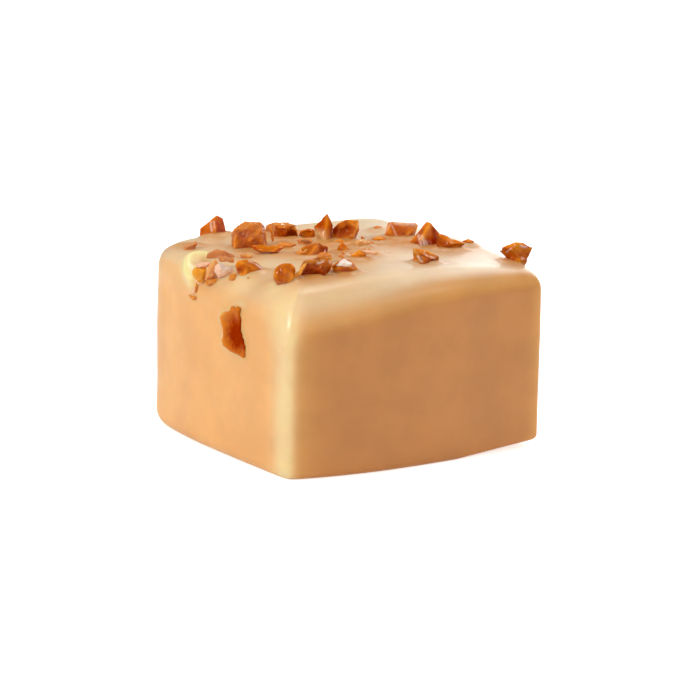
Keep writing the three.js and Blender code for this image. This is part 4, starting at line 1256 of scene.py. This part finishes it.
def make_floor():
    bm = bmesh.new()
    bmesh.ops.create_grid(bm, x_segments=1, y_segments=1, size=FLOOR_SIZE / 2 * MM)
    mesh = bpy.data.meshes.new("floor")
    bm.to_mesh(mesh)
    bm.free()
    material, nodes, shader = new_material("pale_floor")
    nodes.set(shader, {
        "Base Color": (0.8, 0.8, 0.8, 1), "Emission Color": (1, 1, 1, 1),
        "Emission Strength": FLOOR_GLOW, "Roughness": 0.9,
    })
    glow = nodes.add("ShaderNodeEmission", Strength=FLOOR_SHOWN_GLOW)
    seen = nodes.add("ShaderNodeLightPath").outputs["Is Camera Ray"]
    lit = nodes.add("ShaderNodeAddShader")
    nodes.tree.links.new(shader.outputs[0], lit.inputs[0])
    nodes.tree.links.new(glow.outputs[0], lit.inputs[1])
    mix = nodes.add("ShaderNodeMixShader", {0: seen, 1: shader.outputs[0], 2: lit.outputs[0]})
    nodes.tree.links.new(mix.outputs[0], nodes.tree.nodes["Material Output"].inputs["Surface"])
    mesh.materials.append(material)
    floor = bpy.data.objects.new("floor", mesh)
    bpy.context.scene.collection.objects.link(floor)


def make_world(strength):
    world = bpy.data.worlds.new("studio")
    world.use_nodes = True
    bpy.context.scene.world = world
    nodes = Nodes(world.node_tree)
    dim = world.node_tree.nodes["Background"]
    nodes.set(dim, {"Color": (1, 0.98, 0.95, 1), "Strength": strength})
    white = nodes.add("ShaderNodeBackground", Color=(1, 1, 1, 1), Strength=1.0)
    seen = nodes.add("ShaderNodeLightPath").outputs["Is Camera Ray"]
    mix = nodes.add("ShaderNodeMixShader", {0: seen, 1: dim.outputs[0], 2: white.outputs[0]})
    nodes.tree.links.new(mix.outputs[0], nodes.tree.nodes["World Output"].inputs["Surface"])


def direction(azimuth, elevation):
    """Away from the candy: azimuth 0 is in front of it and 90 to its right."""
    a, e = math.radians(azimuth), math.radians(elevation)
    return Vector((math.sin(a) * math.cos(e), -math.cos(a) * math.cos(e), math.sin(e)))


def make_light(name, azimuth, elevation, distance, size, power, tint=(1, 1, 1)):
    """A square soft box that looks at the middle of the candy."""
    away = direction(azimuth, elevation)
    data = bpy.data.lights.new(name, "AREA")
    data.size = size * MM
    data.energy = power
    data.color = tint
    lamp = bpy.data.objects.new(name, data)
    lamp.location = (MIDDLE + away * distance) * MM
    lamp.rotation_euler = (-away).to_track_quat("-Z", "Y").to_euler()
    bpy.context.scene.collection.objects.link(lamp)


# The camera stands in front and to the left, a little above.
CAMERA_AZIMUTH = -33.17
CAMERA_ELEVATION = 12.69
CAMERA_DISTANCE = 420.0
CAMERA_ROLL = 1.18
CAMERA_SHIFT = Vector((1.39, -0.96))  # the candy's middle lies this far off the picture's
PIXELS_PER_MM = 10.6
PICTURE_PIXELS = 700
SENSOR = 36.0
NEAR_LIMIT, FAR_LIMIT = 0.01, 10.0


def make_camera():
    back = direction(CAMERA_AZIMUTH, CAMERA_ELEVATION)
    right = direction(CAMERA_AZIMUTH + 90, 0)
    up = back.cross(right)
    data = bpy.data.cameras.new("camera")
    data.sensor_width = SENSOR
    data.lens = PIXELS_PER_MM * CAMERA_DISTANCE / PICTURE_PIXELS * SENSOR
    data.clip_start, data.clip_end = NEAR_LIMIT, FAR_LIMIT
    camera = bpy.data.objects.new("camera", data)
    place = MIDDLE + back * CAMERA_DISTANCE + right * CAMERA_SHIFT.x + up * CAMERA_SHIFT.y
    turn = Matrix((right, up, back)).transposed() @ Matrix.Rotation(math.radians(CAMERA_ROLL), 3, "Z")
    camera.matrix_world = Matrix.Translation(place * MM) @ turn.to_4x4()
    bpy.context.scene.collection.objects.link(camera)
    bpy.context.scene.camera = camera


# ---- everything together -----------------------------------------------------------------
coating = coating_material()
toffee = toffee_material()
make_coating(coating)
make_bits(toffee)
make_side_flake(toffee)
make_fine_crumbs(toffee)

WORLD_LIGHT = 0.43
# Name, azimuth, elevation, distance, size, power and tint.
LAMPS = (
    ("key", -100, 38, 300, 80, 0.36, (1.0, 0.97, 0.92)),
    ("rim", 118, 20, 110, 60, 0.016),
    ("side", 95, 40, 110, 60, 0.02),
    ("sheen", 128, 16, 62, 30, 0.0035),
    ("fill", 10, 30, 350, 200, 0.12),
)
# Small lamps that the broken faces of the toffee mirror as points of light.
GLINTS = ((150, 58), (-35, 58), (40, 38))
GLINT_LAMP = (300, 40, 0.07)

make_floor()
make_world(WORLD_LIGHT)
for lamp in LAMPS:
    make_light(*lamp)
for index, (azimuth, elevation) in enumerate(GLINTS):
    make_light(f"glint_{index}", azimuth, elevation, *GLINT_LAMP)
make_camera()
bpy.context.scene.view_settings.view_transform = "Standard"
